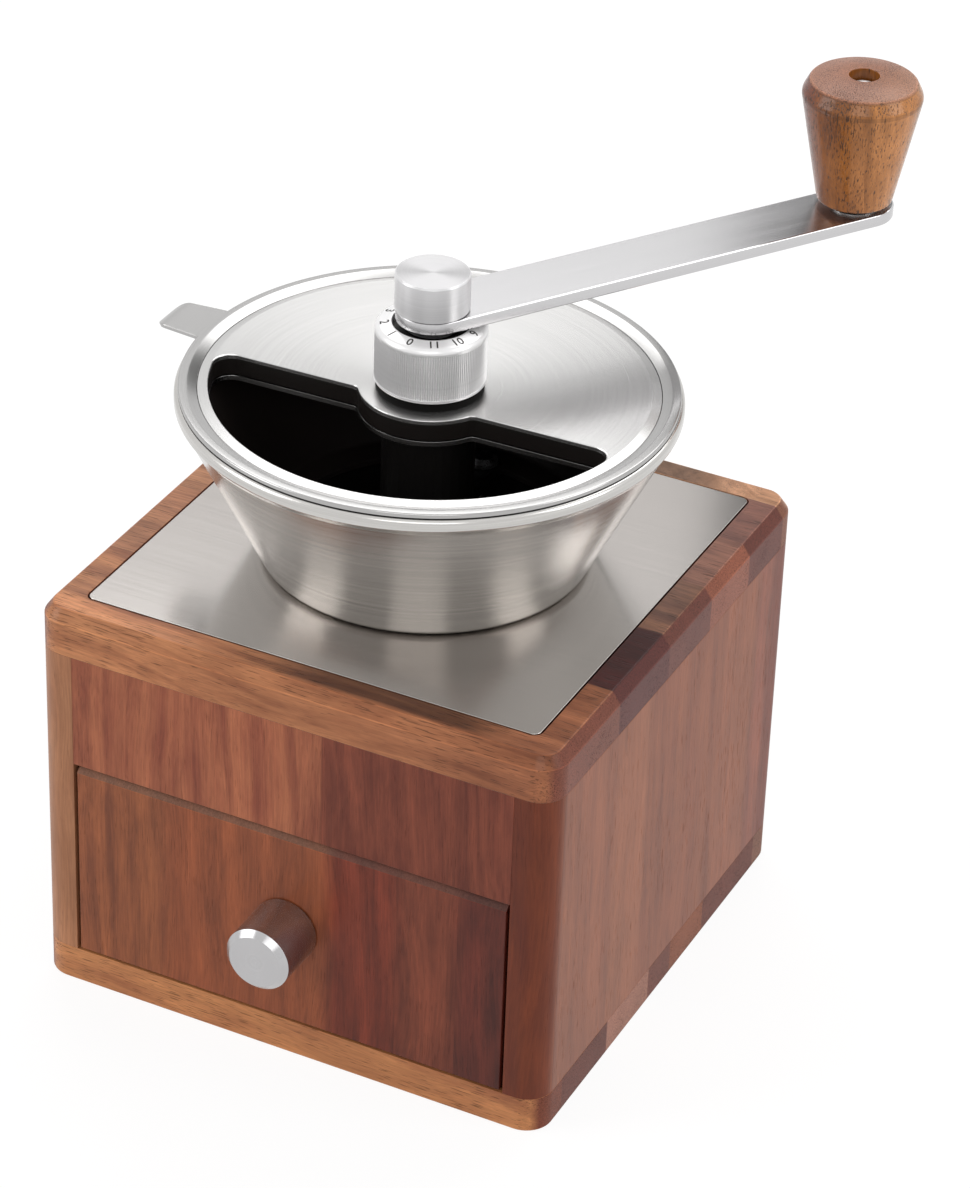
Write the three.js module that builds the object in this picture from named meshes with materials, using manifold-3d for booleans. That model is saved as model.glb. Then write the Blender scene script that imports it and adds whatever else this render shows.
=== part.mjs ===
// Box coffee mill: a wooden case with a grounds drawer, a steel hopper with a turning
// shutter, a conical burr set under it, a dial that sets the grind, and a hand crank.
// Millimetres, +Z up. The origin is the middle of the underside and the drawer opens toward -Y.
import * as THREE from 'three';
import { mergeVertices } from 'three/addons/utils/BufferGeometryUtils.js';
import Module from 'manifold-3d';

const wasm = await Module();
wasm.setup();

// Fits shared by every piece
const clear = 0.3; // running clearance between pieces that meet or turn on each other
const overrun = 2; // how far a cutter runs past what it cuts
const fineSides = 54;
const housingSides = 60;
const roundSides = 32;
const smallSides = 12;
const cornerSteps = 6;
const bendSteps = 3;

// Case
const caseWidth = 140;
const caseDepth = 140;
const caseHeight = 109.2;
const caseCornerRadius = 7;
const topEdgeChamfer = 2.4;
const topBoardThickness = 12;
const bottomBoardThickness = 9.8;
const sidePanelThickness = 10.3;
const headerThickness = 12;
const backPanelThickness = 10.5;
const drawerOpeningHeight = 56.4;

// Square cover plate let into the top board
const plateBorder = 9.3; // wood left round the plate
const plateThickness = 1.5;
const plateCornerRadius = 2;
const plateJoint = 0.4;

// Drawer
const drawerSideJoint = 0.9;
const drawerBottomJoint = 0.6;
const drawerTopJoint = 0.8;
const drawerFrontThickness = 11;
const drawerFrontBevel = 1.7;
const drawerBoxSideGap = 2.2; // between the box and the case's sides
const drawerBoxBackGap = 14.5; // between the box and the back panel
const drawerWallDrop = 8.1; // how far the walls stay below the top of the opening
const drawerWallThickness = 6;
const drawerFloorThickness = 3;
const drawerFloorLift = 2.2;

// Drawer pull
const pullRadius = 8.5;
const pullLength = 15.5;
const pullChamfer = 1.5;
const pullBoreDepth = 10;

// Hopper, spun from sheet
const hopperGauge = 1.2;
const hopperHeight = 45;
const hopperFootRadius = 39.3;
const hopperFootRound = 2.4;
const hopperShoulderRadius = 60.4;
const hopperShoulderDrop = 4.4;
const hopperRimRadius = 61.7;
const hopperRimRound = 1.1;

// Black bowl inside the hopper
const linerGap = 0.5;
const linerThickness = 1.5;
const linerTopDrop = 8;

// Burr housing: a flanged cup that hangs through the top board
const cupOuterRadius = 27;
const cupWall = 3;
const flangeRadius = 36;
const flangeThickness = 2.5;
const housingDepth = 40;
const ledgeWidth = 3.2;
const ledgeHeight = 9;
const spokeCount = 3;
const spokeWidth = 5;
const spokeHeight = 4.5;
const lowerHubRadius = 9.5;

// Lower bearing bush
const bushOuterRadius = 6.6;

// Burr set
const innerBurrHeight = 25;
const innerBurrTopRadius = 8.4;
const innerBurrBottomRadius = 17.4;
const innerToothCount = 11;
const innerToothDepth = 1.7;
const innerTwist = 70; // degrees over the height
const outerBurrHeight = 14;
const outerToothCount = 18;
const outerToothDepth = 1.3;
const outerTwist = 24;
const burrFineGap = 0.4; // tooth tip to tooth tip at the finest setting
const burrLayers = 6;
const toothShares = [0, 0.12, 0.5, 0.86]; // where the section turns, in shares of one tooth
const toothDepthShares = [0, 0, 0.65, 1]; // how deep it is there, in shares of the depth

// Grind setting: the dial turns on a fine thread and lifts the sleeve that carries the shaft
const threadPitch = 0.75;
const dialTurn = 330; // degrees
const sleeveLift = (threadPitch * dialTurn) / 360;

// Burr nut under the inner burr
const burrNutRadius = 7.2;
const burrNutHeight = 3.2;

// Shaft
const shaftRadius = 4;
const shaftTailLength = 1.5;
const shaftCollarRadius = 6.5;
const shaftCollarHeight = 1.2;
const tenonSide = 6.4;
const studRadius = 2.7;
const studLength = 5.6;

// Bearing column between the housing and the lid
const columnRadius = 11.5;
const columnStepRadius = 10.4;
const columnNeckRadius = 9;
const columnFootReach = 34.5;
const columnFootWidth = 7;
const columnFootHeight = 4;
const columnBore = 6.9;
const keyWidth = 2.4;
const keyRadius = 7.9;

// Lid: a steel disc on a black plastic body, both cut with the same half-moon mouth
const lidRadius = 56.1;
const lidDrop = 0.4; // how far the disc lies under the top of the shutter's rim
const lidDiscThickness = 1;
const lidEdgeWidth = 2.4; // sloped band round the disc
const lidEdgeDrop = 0.6;
const lidBodyThickness = 4.4;
const lidBodyInset = 0.5;
const mouthRadius = 53.5;
const mouthEdge = 8.6;
const mouthCornerRadius = 4.6;
const mouthHubRadius = 17.5;
const mouthHubFillet = 2.4;
const mouthTurn = 2; // degrees

// Shutter: a dish with a rim that lies on the hopper and a tab to turn it by
const shutterJoint = 0.4;
const shutterWall = 0.9;
const shutterRimRadius = 60.8;
const shutterRimThickness = 1.1;
const shutterPlateThickness = 1.2;
const shutterRimRound = 0.4;
const shutterDishWidth = 2.2; // inner part of the rim, which slopes down to the disc
const shutterDishDrop = 0.9;
const tabReach = 73.2;
const tabRootWidth = 15;
const tabTipWidth = 12.5;
const tabCornerRadius = 3;
const tabCurlRadius = 5;
const tabCurlAngle = 42;

// Dial and the black washer under it
const dialWasherRadius = 13.2;
const dialWasherThickness = 2;
const dialRadius = 13.65;
const dialBore = 9.6;
const dialGripHeight = 13.9;
const dialBevelHeight = 1.4;
const dialBevelInnerRadius = 10.1;
const dialKnurlCount = 40;
const dialKnurlDepth = 0.25;
const dialPlainHeight = 0.7;

// Lift sleeve inside the dial
const sleeveHeadHeight = 12.6;
const sleeveTailLength = 21;
const sleeveHeadGap = 1.4;

// Crank
const crankAngle = 56.7; // degrees from +X, as the arm stands at rest
const armGap = 0.6;
const armThickness = 3.1;
const armHalfWidth = 8.8;
const armLength = 121.3; // from the shaft to the knob's screw
const armEndReach = 1.6; // how far the middle of the round end lies past that screw
const capRadius = 9.15;
const capHeight = 9.3;
const capChamfer = 0.45;

// Crank knob
const knobBushRadius = 6.2;
const knobBushHeight = 1;
const knobHeight = 32.4;
const knobBaseRadius = 9.5;
const knobBaseRound = 0.7;
const knobRadius = 15.2;
const knobTopRadius = 13.4;
const knobShoulderHeight = 28.8;
const knobShoulderRound = 0.7;
const knobTopRound = 0.4;
const knobCrown = 1.3; // how far the top rises from its edge to the recess
const knobRecessRadius = 3.8;
const knobRecessDepth = 4.6;

// Screws
const screwRadius = 2;
const screwHeadRadius = 3.8;
const screwHeadHeight = 2.2;
const housingScrewLength = 19;
const housingScrewCircle = 31;
const knobScrewHeadRadius = 3.3;

// Places that follow from the sizes
const halfWidth = caseWidth / 2;
const halfDepth = caseDepth / 2;
const topBoardUnderside = caseHeight - topBoardThickness;
const openingTop = bottomBoardThickness + drawerOpeningHeight;
const openingHalfWidth = halfWidth - sidePanelThickness;
const screwHole = screwRadius + clear;
const shaftBore = shaftRadius + clear;
const cupBore = cupOuterRadius - cupWall;
const hopperFloorTop = caseHeight + hopperGauge;
const flangeTop = hopperFloorTop + flangeThickness;
const cupBottom = flangeTop - housingDepth;
const spokeTop = cupBottom + spokeHeight;
const ledgeTop = cupBottom + ledgeHeight;
const burrNutBottom = spokeTop + 2 * clear;
const innerBurrBottom = burrNutBottom + burrNutHeight + clear;
const hopperRimTop = caseHeight + hopperHeight;
const shutterRimBottom = hopperRimTop + clear;
const shutterRimTop = shutterRimBottom + shutterRimThickness;
const lidTop = shutterRimTop - lidDrop;
const lidDiscBottom = lidTop - lidDiscThickness;
const lidBodyBottom = lidDiscBottom - lidBodyThickness;
const shutterPlateTop = lidBodyBottom - shutterJoint;
const shutterPlateBottom = shutterPlateTop - shutterPlateThickness;
const shutterBore = lidRadius + clear;
const dialWasherTop = lidTop + dialWasherThickness;
const dialBottom = dialWasherTop + clear;
const dialTop = dialBottom + dialGripHeight + dialBevelHeight;
const armBottom = dialTop + armGap;
const armTop = armBottom + armThickness;
const columnTop = dialWasherTop;
const sleeveHeadBottom = columnTop + sleeveHeadGap;
const sleeveTop = sleeveHeadBottom + sleeveHeadHeight;
const shaftCollarBottom = sleeveTop + clear;
const capBottom = armTop + clear;
const knobBushBottom = armTop + clear;
const knobBottom = knobBushBottom + knobBushHeight + clear;
const drawerFrontBottom = bottomBoardThickness + drawerBottomJoint;
const drawerFrontTop = openingTop - drawerTopJoint;
const drawerFrontHalfWidth = openingHalfWidth - drawerSideJoint;
const drawerBoxBottom = bottomBoardThickness + clear;
const drawerBoxTop = openingTop - drawerWallDrop;
const drawerBoxFront = drawerFrontThickness - halfDepth;
const drawerBoxBack = halfDepth - backPanelThickness - drawerBoxBackGap;
const drawerBoxHalfWidth = openingHalfWidth - drawerBoxSideGap;
const pullHeight = (drawerFrontBottom + drawerFrontTop) / 2;
const columnFootTop = flangeTop + clear + columnFootHeight;
const housingScrewSeat = columnFootTop + clear;

// Finishes
function finish(color, roughness, metalness) {
  return new THREE.MeshStandardMaterial({ color, roughness, metalness });
}
const redWood = finish(0x8f543b, 0.55, 0);
const brownWood = finish(0xa4693f, 0.55, 0);
const paleWood = finish(0xb98a5c, 0.6, 0);
const satinSteel = finish(0xb9b9b8, 0.35, 1);
const turnedSteel = finish(0xc9cacb, 0.25, 1);
const burrSteel = finish(0x77787a, 0.4, 1);
const blackPlastic = finish(0x15130f, 0.3, 0);
const bronze = finish(0xa9793f, 0.4, 1);

// Closed mesh to solid, with the shared corners merged and the slivers at an axis dropped
function solid(geometry) {
  const bare = geometry.clone();
  bare.deleteAttribute('normal');
  bare.deleteAttribute('uv');
  const merged = mergeVertices(bare);
  const corners = merged.index.array;
  const kept = [];
  for (let i = 0; i < corners.length; i += 3) {
    const [a, b, c] = corners.slice(i, i + 3);
    if (a !== b && b !== c && c !== a) kept.push(a, b, c);
  }
  const vertProperties = new Float32Array(merged.attributes.position.array);
  return new wasm.Manifold(new wasm.Mesh({ numProp: 3, vertProperties, triVerts: new Uint32Array(kept) }));
}

// Solid back to a geometry
function surface(shape) {
  const { vertProperties, triVerts } = shape.getMesh();
  const geometry = new THREE.BufferGeometry();
  geometry.setAttribute('position', new THREE.BufferAttribute(vertProperties, 3));
  geometry.setIndex(new THREE.BufferAttribute(triVerts, 1));
  geometry.computeVertexNormals();
  return geometry;
}

function piece(name, shape, material) {
  const mesh = new THREE.Mesh(surface(shape), material);
  mesh.name = name;
  return mesh;
}

// Box between two corners
function block(x0, x1, y0, y1, z0, z1) {
  const box = new THREE.BoxGeometry(x1 - x0, y1 - y0, z1 - z0);
  return solid(box.translate((x0 + x1) / 2, (y0 + y1) / 2, (z0 + z1) / 2));
}

// Profile of [radius, height] points turned about the Z axis, counter-clockwise on the page
function turned(profile, sides = roundSides) {
  const first = profile[0];
  const last = profile[profile.length - 1];
  const onAxis = first[0] === 0 && last[0] === 0;
  const points = (onAxis ? profile : [...profile, first]).map(([r, z]) => new THREE.Vector2(r, z));
  return solid(new THREE.LatheGeometry(points, sides).rotateX(Math.PI / 2));
}

function rod(radius, z0, z1, sides = smallSides) {
  return turned([[0, z0], [radius, z0], [radius, z1], [0, z1]], sides);
}

function ring(inner, outer, z0, z1, sides = roundSides) {
  return turned([[inner, z0], [outer, z0], [outer, z1], [inner, z1]], sides);
}

// Flat outline pushed up from z0 to z1
function slab(outline, z0, z1) {
  const settings = { depth: z1 - z0, bevelEnabled: false };
  return solid(new THREE.ExtrudeGeometry(new THREE.Shape(outline), settings).translate(0, 0, z0));
}

// Rings of equal count, joined side to side and capped with a fan at both ends
function loft(rings) {
  const count = rings[0].length;
  const positions = rings.flat().flatMap((point) => point.toArray());
  const index = [];
  for (let level = 0; level < rings.length - 1; level += 1) {
    for (let i = 0; i < count; i += 1) {
      const a = level * count + i;
      const b = level * count + ((i + 1) % count);
      index.push(a, b, b + count, a, b + count, a + count);
    }
  }
  for (const level of [0, rings.length - 1]) {
    const middle = rings[level].reduce((sum, point) => sum.add(point), new THREE.Vector3());
    const centre = positions.length / 3;
    positions.push(...middle.divideScalar(count).toArray());
    for (let i = 0; i < count; i += 1) {
      const a = level * count + i;
      const b = level * count + ((i + 1) % count);
      index.push(centre, ...(level === 0 ? [b, a] : [a, b]));
    }
  }
  const geometry = new THREE.BufferGeometry();
  geometry.setAttribute('position', new THREE.Float32BufferAttribute(positions, 3));
  geometry.setIndex(index);
  return solid(geometry);
}

// Points along an arc, both ends included
function arc(cx, cy, radius, from, to, steps = cornerSteps) {
  const at = (i) => from + ((to - from) * i) / steps;
  const point = (angle) => new THREE.Vector2(cx + radius * Math.cos(angle), cy + radius * Math.sin(angle));
  return Array.from({ length: steps + 1 }, (_, i) => point(at(i)));
}

// Rectangle with round corners, counter-clockwise
function roundedRect(width, depth, radius) {
  const x = width / 2 - radius;
  const y = depth / 2 - radius;
  const quarter = Math.PI / 2;
  const corners = [[x, y], [-x, y], [-x, -y], [x, -y]];
  return corners.flatMap(([cx, cy], i) => arc(cx, cy, radius, i * quarter, (i + 1) * quarter));
}

const lifted = (outline, z) => outline.map((point) => new THREE.Vector3(point.x, point.y, z));
const radians = (degrees) => THREE.MathUtils.degToRad(degrees);
const aroundZ = (degrees, i, count) => degrees + (360 * i) / count;

// Block of the whole case: upright edges rounded, top edge chamfered all round
function caseForm() {
  const plan = roundedRect(caseWidth, caseDepth, caseCornerRadius);
  const inset = 2 * topEdgeChamfer;
  const top = roundedRect(caseWidth - inset, caseDepth - inset, caseCornerRadius - topEdgeChamfer);
  return loft([lifted(plan, 0), lifted(plan, caseHeight - topEdgeChamfer), lifted(top, caseHeight)]);
}

function caseBoard(x0, x1, y0, y1, z0, z1) {
  return caseForm().intersect(block(x0, x1, y0, y1, z0, z1));
}

// Outline of the cover plate, grown by the joint round it for the recess
function plateOutline(grow) {
  const width = caseWidth - 2 * plateBorder + 2 * grow;
  const depth = caseDepth - 2 * plateBorder + 2 * grow;
  return roundedRect(width, depth, plateCornerRadius + grow);
}

function topBoard() {
  const x = halfWidth + overrun;
  const y = halfDepth + overrun;
  const board = caseBoard(-x, x, -y, y, topBoardUnderside, caseHeight + overrun);
  const throat = rod(cupOuterRadius + clear, topBoardUnderside - overrun, caseHeight, roundSides);
  const seat = slab(plateOutline(plateJoint), caseHeight - plateThickness, caseHeight + overrun);
  const screwTip = housingScrewSeat - housingScrewLength - clear;
  return drill(board.subtract(seat).subtract(throat), screwTip, caseHeight);
}

function bottomBoard() {
  const x = halfWidth + overrun;
  const y = halfDepth + overrun;
  return caseBoard(-x, x, -y, y, -overrun, bottomBoardThickness);
}

function sidePanel(side) {
  const [x0, x1] = [side * openingHalfWidth, side * (halfWidth + overrun)].sort((a, b) => a - b);
  const y = halfDepth + overrun;
  return caseBoard(x0, x1, -y, y, bottomBoardThickness, topBoardUnderside);
}

function headerPanel() {
  const x = openingHalfWidth;
  return block(-x, x, -halfDepth, headerThickness - halfDepth, openingTop, topBoardUnderside);
}

function backPanel() {
  const x = openingHalfWidth;
  return block(-x, x, halfDepth - backPanelThickness, halfDepth, bottomBoardThickness, topBoardUnderside);
}

// Copies of a cutter or screw on the circle that fastens the housing
function screwCircle(make) {
  return Array.from({ length: spokeCount }, (_, i) => {
    const angle = aroundZ(90, i, spokeCount);
    const x = housingScrewCircle * Math.cos(radians(angle));
    const y = housingScrewCircle * Math.sin(radians(angle));
    return make(angle).translate([x, y, 0]);
  });
}

function drill(shape, z0, z1) {
  return screwCircle(() => rod(screwHole, z0, z1)).reduce((cut, hole) => cut.subtract(hole), shape);
}

function topPlate() {
  const plate = slab(plateOutline(0), caseHeight - plateThickness, caseHeight);
  const throat = rod(cupOuterRadius + clear, topBoardUnderside, caseHeight + overrun, roundSides);
  return drill(plate.subtract(throat), topBoardUnderside, caseHeight + overrun);
}

// Outside line of the hopper from its foot to its lip
function hopperLine(gap) {
  const foot = caseHeight + gap;
  const bendCentre = caseHeight + hopperFootRound;
  const shoulder = hopperRimTop - hopperShoulderDrop;
  const lip = hopperRimTop - hopperRimRound;
  const bend = arc(hopperFootRadius, bendCentre, hopperFootRound - gap, -Math.PI / 2, 0, bendSteps);
  const round = bend.slice(0, -1).map((point) => [point.x, point.y]);
  return [
    ...round,
    [hopperShoulderRadius - gap, shoulder],
    [hopperRimRadius - gap, shoulder + hopperRimRound],
    [hopperRimRadius - gap, lip],
  ].map(([r, z]) => [r, Math.max(z, foot)]);
}

function hopper() {
  const outside = hopperLine(0);
  const inside = hopperLine(hopperGauge).reverse();
  const hole = cupOuterRadius + clear;
  const lip = [[hopperRimRadius - hopperRimRound, hopperRimTop]];
  const section = [[hole, caseHeight], ...outside, ...lip, ...inside, [hole, hopperFloorTop]];
  return drill(turned(section, fineSides), caseHeight - overrun, hopperFloorTop + overrun);
}

// Radius of the hopper's straight wall at a height, on the inside
function wallRadius(z, gap) {
  const foot = caseHeight + hopperFootRound;
  const shoulder = hopperRimTop - hopperShoulderDrop;
  const footRadius = hopperFootRadius + hopperFootRound;
  const share = (z - foot) / (shoulder - foot);
  return footRadius + (hopperShoulderRadius - footRadius) * share - hopperGauge - gap;
}

function hopperLiner() {
  const bottom = flangeTop + clear;
  const top = hopperRimTop - linerTopDrop;
  const outer = (z) => wallRadius(z, linerGap);
  const inner = (z) => outer(z) - linerThickness;
  const foot = Math.hypot(columnFootReach, columnFootWidth / 2) + clear;
  return turned([
    [foot, bottom],
    [inner(bottom), bottom],
    [outer(bottom + linerThickness), bottom + linerThickness],
    [outer(top), top],
    [inner(top), top],
    [inner(bottom + 2 * linerThickness), bottom + 2 * linerThickness],
    [foot, bottom + linerThickness],
  ], fineSides);
}

// Radial bar from the axis, turned to an angle
function spoke(reach, width, z0, z1, angle) {
  return block(0, reach, -width / 2, width / 2, z0, z1).rotate([0, 0, angle]);
}

function burrHousing() {
  const ledgeBore = cupBore - ledgeWidth;
  let cup = turned([
    [ledgeBore, cupBottom],
    [cupOuterRadius, cupBottom],
    [cupOuterRadius, hopperFloorTop],
    [flangeRadius, hopperFloorTop],
    [flangeRadius, flangeTop],
    [cupBore, flangeTop],
    [cupBore, ledgeTop],
    [ledgeBore, ledgeTop],
  ], housingSides);
  const reach = (cupBore + ledgeBore) / 2;
  for (let i = 0; i < spokeCount; i += 1) {
    cup = cup.add(spoke(reach, spokeWidth, cupBottom, spokeTop, aroundZ(90, i, spokeCount)));
  }
  cup = cup.add(rod(lowerHubRadius, cupBottom, spokeTop, roundSides));
  cup = cup.subtract(rod(bushOuterRadius + clear, cupBottom - overrun, spokeTop + overrun));
  return drill(cup, hopperFloorTop - overrun, flangeTop + overrun);
}

// One section of a toothed cone: each tooth rises slowly and drops sharply
function toothedSection(z, tipRadius, depth, teeth, turn) {
  const points = [];
  for (let tooth = 0; tooth < teeth; tooth += 1) {
    for (let i = 0; i < toothShares.length; i += 1) {
      const angle = (2 * Math.PI * (tooth + toothShares[i])) / teeth + turn;
      const radius = tipRadius - depth * toothDepthShares[i];
      points.push(new THREE.Vector3(radius * Math.cos(angle), radius * Math.sin(angle), z));
    }
  }
  return points;
}

const coneSlope = (innerBurrBottomRadius - innerBurrTopRadius) / innerBurrHeight;

// Tip radius of the inner burr at a height
function innerTip(z) {
  return innerBurrBottomRadius - coneSlope * (z - innerBurrBottom);
}

function toothedCone(z0, z1, tipRadius, depth, teeth, twist) {
  const layers = Array.from({ length: burrLayers }, (_, i) => i / (burrLayers - 1));
  return loft(layers.map((share) => {
    const z = z0 + (z1 - z0) * share;
    return toothedSection(z, tipRadius(z), depth, teeth, radians(twist) * share);
  }));
}

function innerBurr() {
  const top = innerBurrBottom + innerBurrHeight;
  const cone = toothedCone(innerBurrBottom, top, innerTip, innerToothDepth, innerToothCount, innerTwist);
  return cone.subtract(rod(shaftBore, innerBurrBottom - overrun, top + overrun));
}

// The ring's teeth point inward, so the cutter's teeth are the ring's grooves
function outerBurr() {
  const bottom = ledgeTop;
  const top = bottom + outerBurrHeight;
  const gap = burrFineGap + coneSlope * sleeveLift;
  const groove = (z) => innerTip(z) + gap + outerToothDepth;
  const z0 = bottom - overrun;
  const z1 = top + overrun;
  const cutter = toothedCone(z0, z1, groove, outerToothDepth, outerToothCount, -outerTwist);
  return rod(cupBore - clear, bottom, top, housingSides).subtract(cutter);
}

function lowerBush() {
  return ring(shaftBore, bushOuterRadius, cupBottom, spokeTop, smallSides);
}

function burrNut() {
  const nut = rod(burrNutRadius, burrNutBottom, burrNutBottom + burrNutHeight, 6);
  return nut.subtract(rod(shaftBore, burrNutBottom - overrun, innerBurrBottom));
}

function bearingColumn() {
  let column = turned([
    [0, flangeTop + clear],
    [columnRadius, flangeTop + clear],
    [columnRadius, shutterPlateBottom - clear],
    [columnStepRadius, shutterPlateBottom - clear],
    [columnStepRadius, lidBodyBottom],
    [columnNeckRadius, lidBodyBottom],
    [columnNeckRadius, columnTop],
    [0, columnTop],
  ]);
  for (let i = 0; i < spokeCount; i += 1) {
    const angle = aroundZ(90, i, spokeCount);
    column = column.add(spoke(columnFootReach, columnFootWidth, flangeTop + clear, columnFootTop, angle));
  }
  column = column.subtract(rod(columnBore, flangeTop - overrun, columnTop + overrun, smallSides));
  const slot = keyRadius + clear;
  const slotHalf = keyWidth / 2 + clear;
  const slotBottom = sleeveHeadBottom - sleeveTailLength - clear;
  column = column.subtract(block(-slot, slot, -slotHalf, slotHalf, slotBottom, columnTop + overrun));
  return drill(column, flangeTop - overrun, columnFootTop + overrun);
}

// Half-moon mouth of the lid: inside the outer arc, in front of the straight edge and clear of
// the hub, with its corners rounded. The straight edge runs along X before the outline is turned.
function mouthOutline(grow) {
  const outer = mouthRadius + grow;
  const hub = mouthHubRadius - grow;
  const edge = mouthEdge - grow;
  const corner = edge + mouthCornerRadius;
  const fillet = edge + mouthHubFillet;
  const cornerX = Math.sqrt((outer - mouthCornerRadius) ** 2 - corner ** 2);
  const filletX = Math.sqrt((hub + mouthHubFillet) ** 2 - fillet ** 2);
  const cornerAngle = Math.atan2(-corner, cornerX);
  const filletAngle = Math.atan2(-fillet, filletX);
  const quarter = Math.PI / 2;
  const points = [
    ...arc(cornerX, -corner, mouthCornerRadius, cornerAngle, quarter),
    ...arc(filletX, -fillet, mouthHubFillet, quarter, Math.PI + filletAngle),
    ...arc(0, 0, hub, filletAngle, -Math.PI - filletAngle, smallSides / 2).slice(1, -1),
    ...arc(-filletX, -fillet, mouthHubFillet, -filletAngle, quarter),
    ...arc(-cornerX, -corner, mouthCornerRadius, quarter, Math.PI - cornerAngle),
    ...arc(0, 0, outer, Math.PI - cornerAngle, 2 * Math.PI + cornerAngle, 2 * smallSides).slice(1, -1),
  ];
  const middle = new THREE.Vector2();
  return points.map((point) => point.rotateAround(middle, radians(mouthTurn)));
}

function mouth(grow, z0, z1) {
  return slab(mouthOutline(grow), z0 - overrun, z1 + overrun);
}

function lidDisc() {
  const bore = columnNeckRadius + clear;
  const disc = turned([
    [bore, lidDiscBottom],
    [lidRadius, lidDiscBottom],
    [lidRadius, lidTop - lidEdgeDrop],
    [lidRadius - lidEdgeWidth, lidTop],
    [bore, lidTop],
  ], fineSides);
  return disc.subtract(mouth(0, lidDiscBottom, lidTop));
}

function lidBody() {
  const outer = lidRadius - lidBodyInset;
  const body = ring(columnNeckRadius + clear, outer, lidBodyBottom, lidDiscBottom, fineSides);
  return body.subtract(mouth(0, lidBodyBottom, lidDiscBottom));
}

// Side view of the tab: level with the rim, curled down at the tip, pushed across and trimmed in plan
function shutterTab() {
  const flatEnd = tabReach - tabCurlRadius * Math.sin(radians(tabCurlAngle));
  const curlCentre = shutterRimTop - tabCurlRadius;
  const end = radians(90 - tabCurlAngle);
  const top = arc(flatEnd, curlCentre, tabCurlRadius, end, Math.PI / 2);
  const under = arc(flatEnd, curlCentre, tabCurlRadius - shutterRimThickness, Math.PI / 2, end);
  const root = shutterBore + shutterDishWidth;
  const rootTop = new THREE.Vector2(root, shutterRimTop);
  const rootBottom = new THREE.Vector2(root, shutterRimBottom);
  const side = [...top, rootTop, rootBottom, ...under];
  const width = tabRootWidth + 2 * overrun;
  const strip = new THREE.ExtrudeGeometry(new THREE.Shape(side), { depth: width, bevelEnabled: false });
  strip.rotateX(Math.PI / 2).translate(0, width / 2, 0);
  const tipY = tabTipWidth / 2 - tabCornerRadius;
  const tipX = tabReach - tabCornerRadius;
  const plan = [
    new THREE.Vector2(root, -tabRootWidth / 2),
    new THREE.Vector2(shutterRimRadius, -tabRootWidth / 2),
    ...arc(tipX, -tipY, tabCornerRadius, -Math.PI / 2, 0),
    ...arc(tipX, tipY, tabCornerRadius, 0, Math.PI / 2),
    new THREE.Vector2(shutterRimRadius, tabRootWidth / 2),
    new THREE.Vector2(root, tabRootWidth / 2),
  ];
  const depth = tabCurlRadius + shutterRimThickness;
  const trim = slab(plan, shutterRimTop - depth, shutterRimTop + overrun);
  return solid(strip).intersect(trim).rotate([0, 0, 180]);
}

function shutter() {
  const plateBore = columnStepRadius + clear;
  const rimRound = shutterRimRadius - shutterRimRound;
  let dish = turned([
    [plateBore, shutterPlateBottom],
    [shutterBore + shutterWall, shutterPlateBottom],
    [shutterBore + shutterWall, shutterRimBottom],
    [shutterRimRadius, shutterRimBottom],
    [shutterRimRadius, shutterRimTop - shutterRimRound],
    [rimRound, shutterRimTop],
    [shutterBore + shutterDishWidth, shutterRimTop],
    [shutterBore, shutterRimTop - shutterDishDrop],
    [shutterBore, shutterPlateTop],
    [plateBore, shutterPlateTop],
  ], fineSides);
  dish = dish.add(shutterTab());
  return dish.subtract(mouth(0, shutterPlateBottom, shutterPlateTop));
}

function dialWasher() {
  return ring(columnNeckRadius + clear, dialWasherRadius, lidTop, dialWasherTop);
}

// Dial with straight knurling between two plain bands and a bevel that carries the scale
function dial() {
  const gripTop = dialBottom + dialGripHeight;
  const body = turned([
    [dialBore, dialBottom],
    [dialRadius, dialBottom],
    [dialRadius, gripTop],
    [dialBevelInnerRadius, dialTop],
    [dialBore, dialTop],
  ], 2 * dialKnurlCount);
  const knurl = Array.from({ length: 2 * dialKnurlCount }, (_, i) => {
    const angle = (Math.PI * i) / dialKnurlCount;
    const radius = dialRadius - (i % 2) * dialKnurlDepth;
    return new THREE.Vector2(radius * Math.cos(angle), radius * Math.sin(angle));
  });
  const z0 = dialBottom + dialPlainHeight;
  const z1 = gripTop - dialPlainHeight;
  const band = ring(dialBore + overrun, dialRadius + overrun, z0, z1).subtract(slab(knurl, z0, z1));
  return body.subtract(band);
}

// Threaded head inside the dial and a keyed tail that slides in the column
function liftSleeve() {
  const tailBottom = sleeveHeadBottom - sleeveTailLength;
  let sleeve = turned([
    [0, tailBottom],
    [columnBore - clear, tailBottom],
    [columnBore - clear, sleeveHeadBottom],
    [dialBore - clear, sleeveHeadBottom],
    [dialBore - clear, sleeveTop],
    [0, sleeveTop],
  ]);
  const key = keyWidth / 2;
  sleeve = sleeve.add(block(-keyRadius, keyRadius, -key, key, tailBottom, sleeveHeadBottom));
  return sleeve.subtract(rod(shaftBore, tailBottom - overrun, sleeveTop + overrun));
}

function shaft() {
  const bottom = cupBottom - shaftTailLength;
  const collarTop = shaftCollarBottom + shaftCollarHeight;
  const tenon = tenonSide / 2;
  return turned([
    [0, bottom],
    [shaftRadius, bottom],
    [shaftRadius, shaftCollarBottom],
    [shaftCollarRadius, shaftCollarBottom],
    [shaftCollarRadius, collarTop],
    [studRadius, collarTop],
    [studRadius, armTop + studLength],
    [0, armTop + studLength],
  ]).add(block(-tenon, tenon, -tenon, tenon, collarTop, armTop - clear));
}

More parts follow.
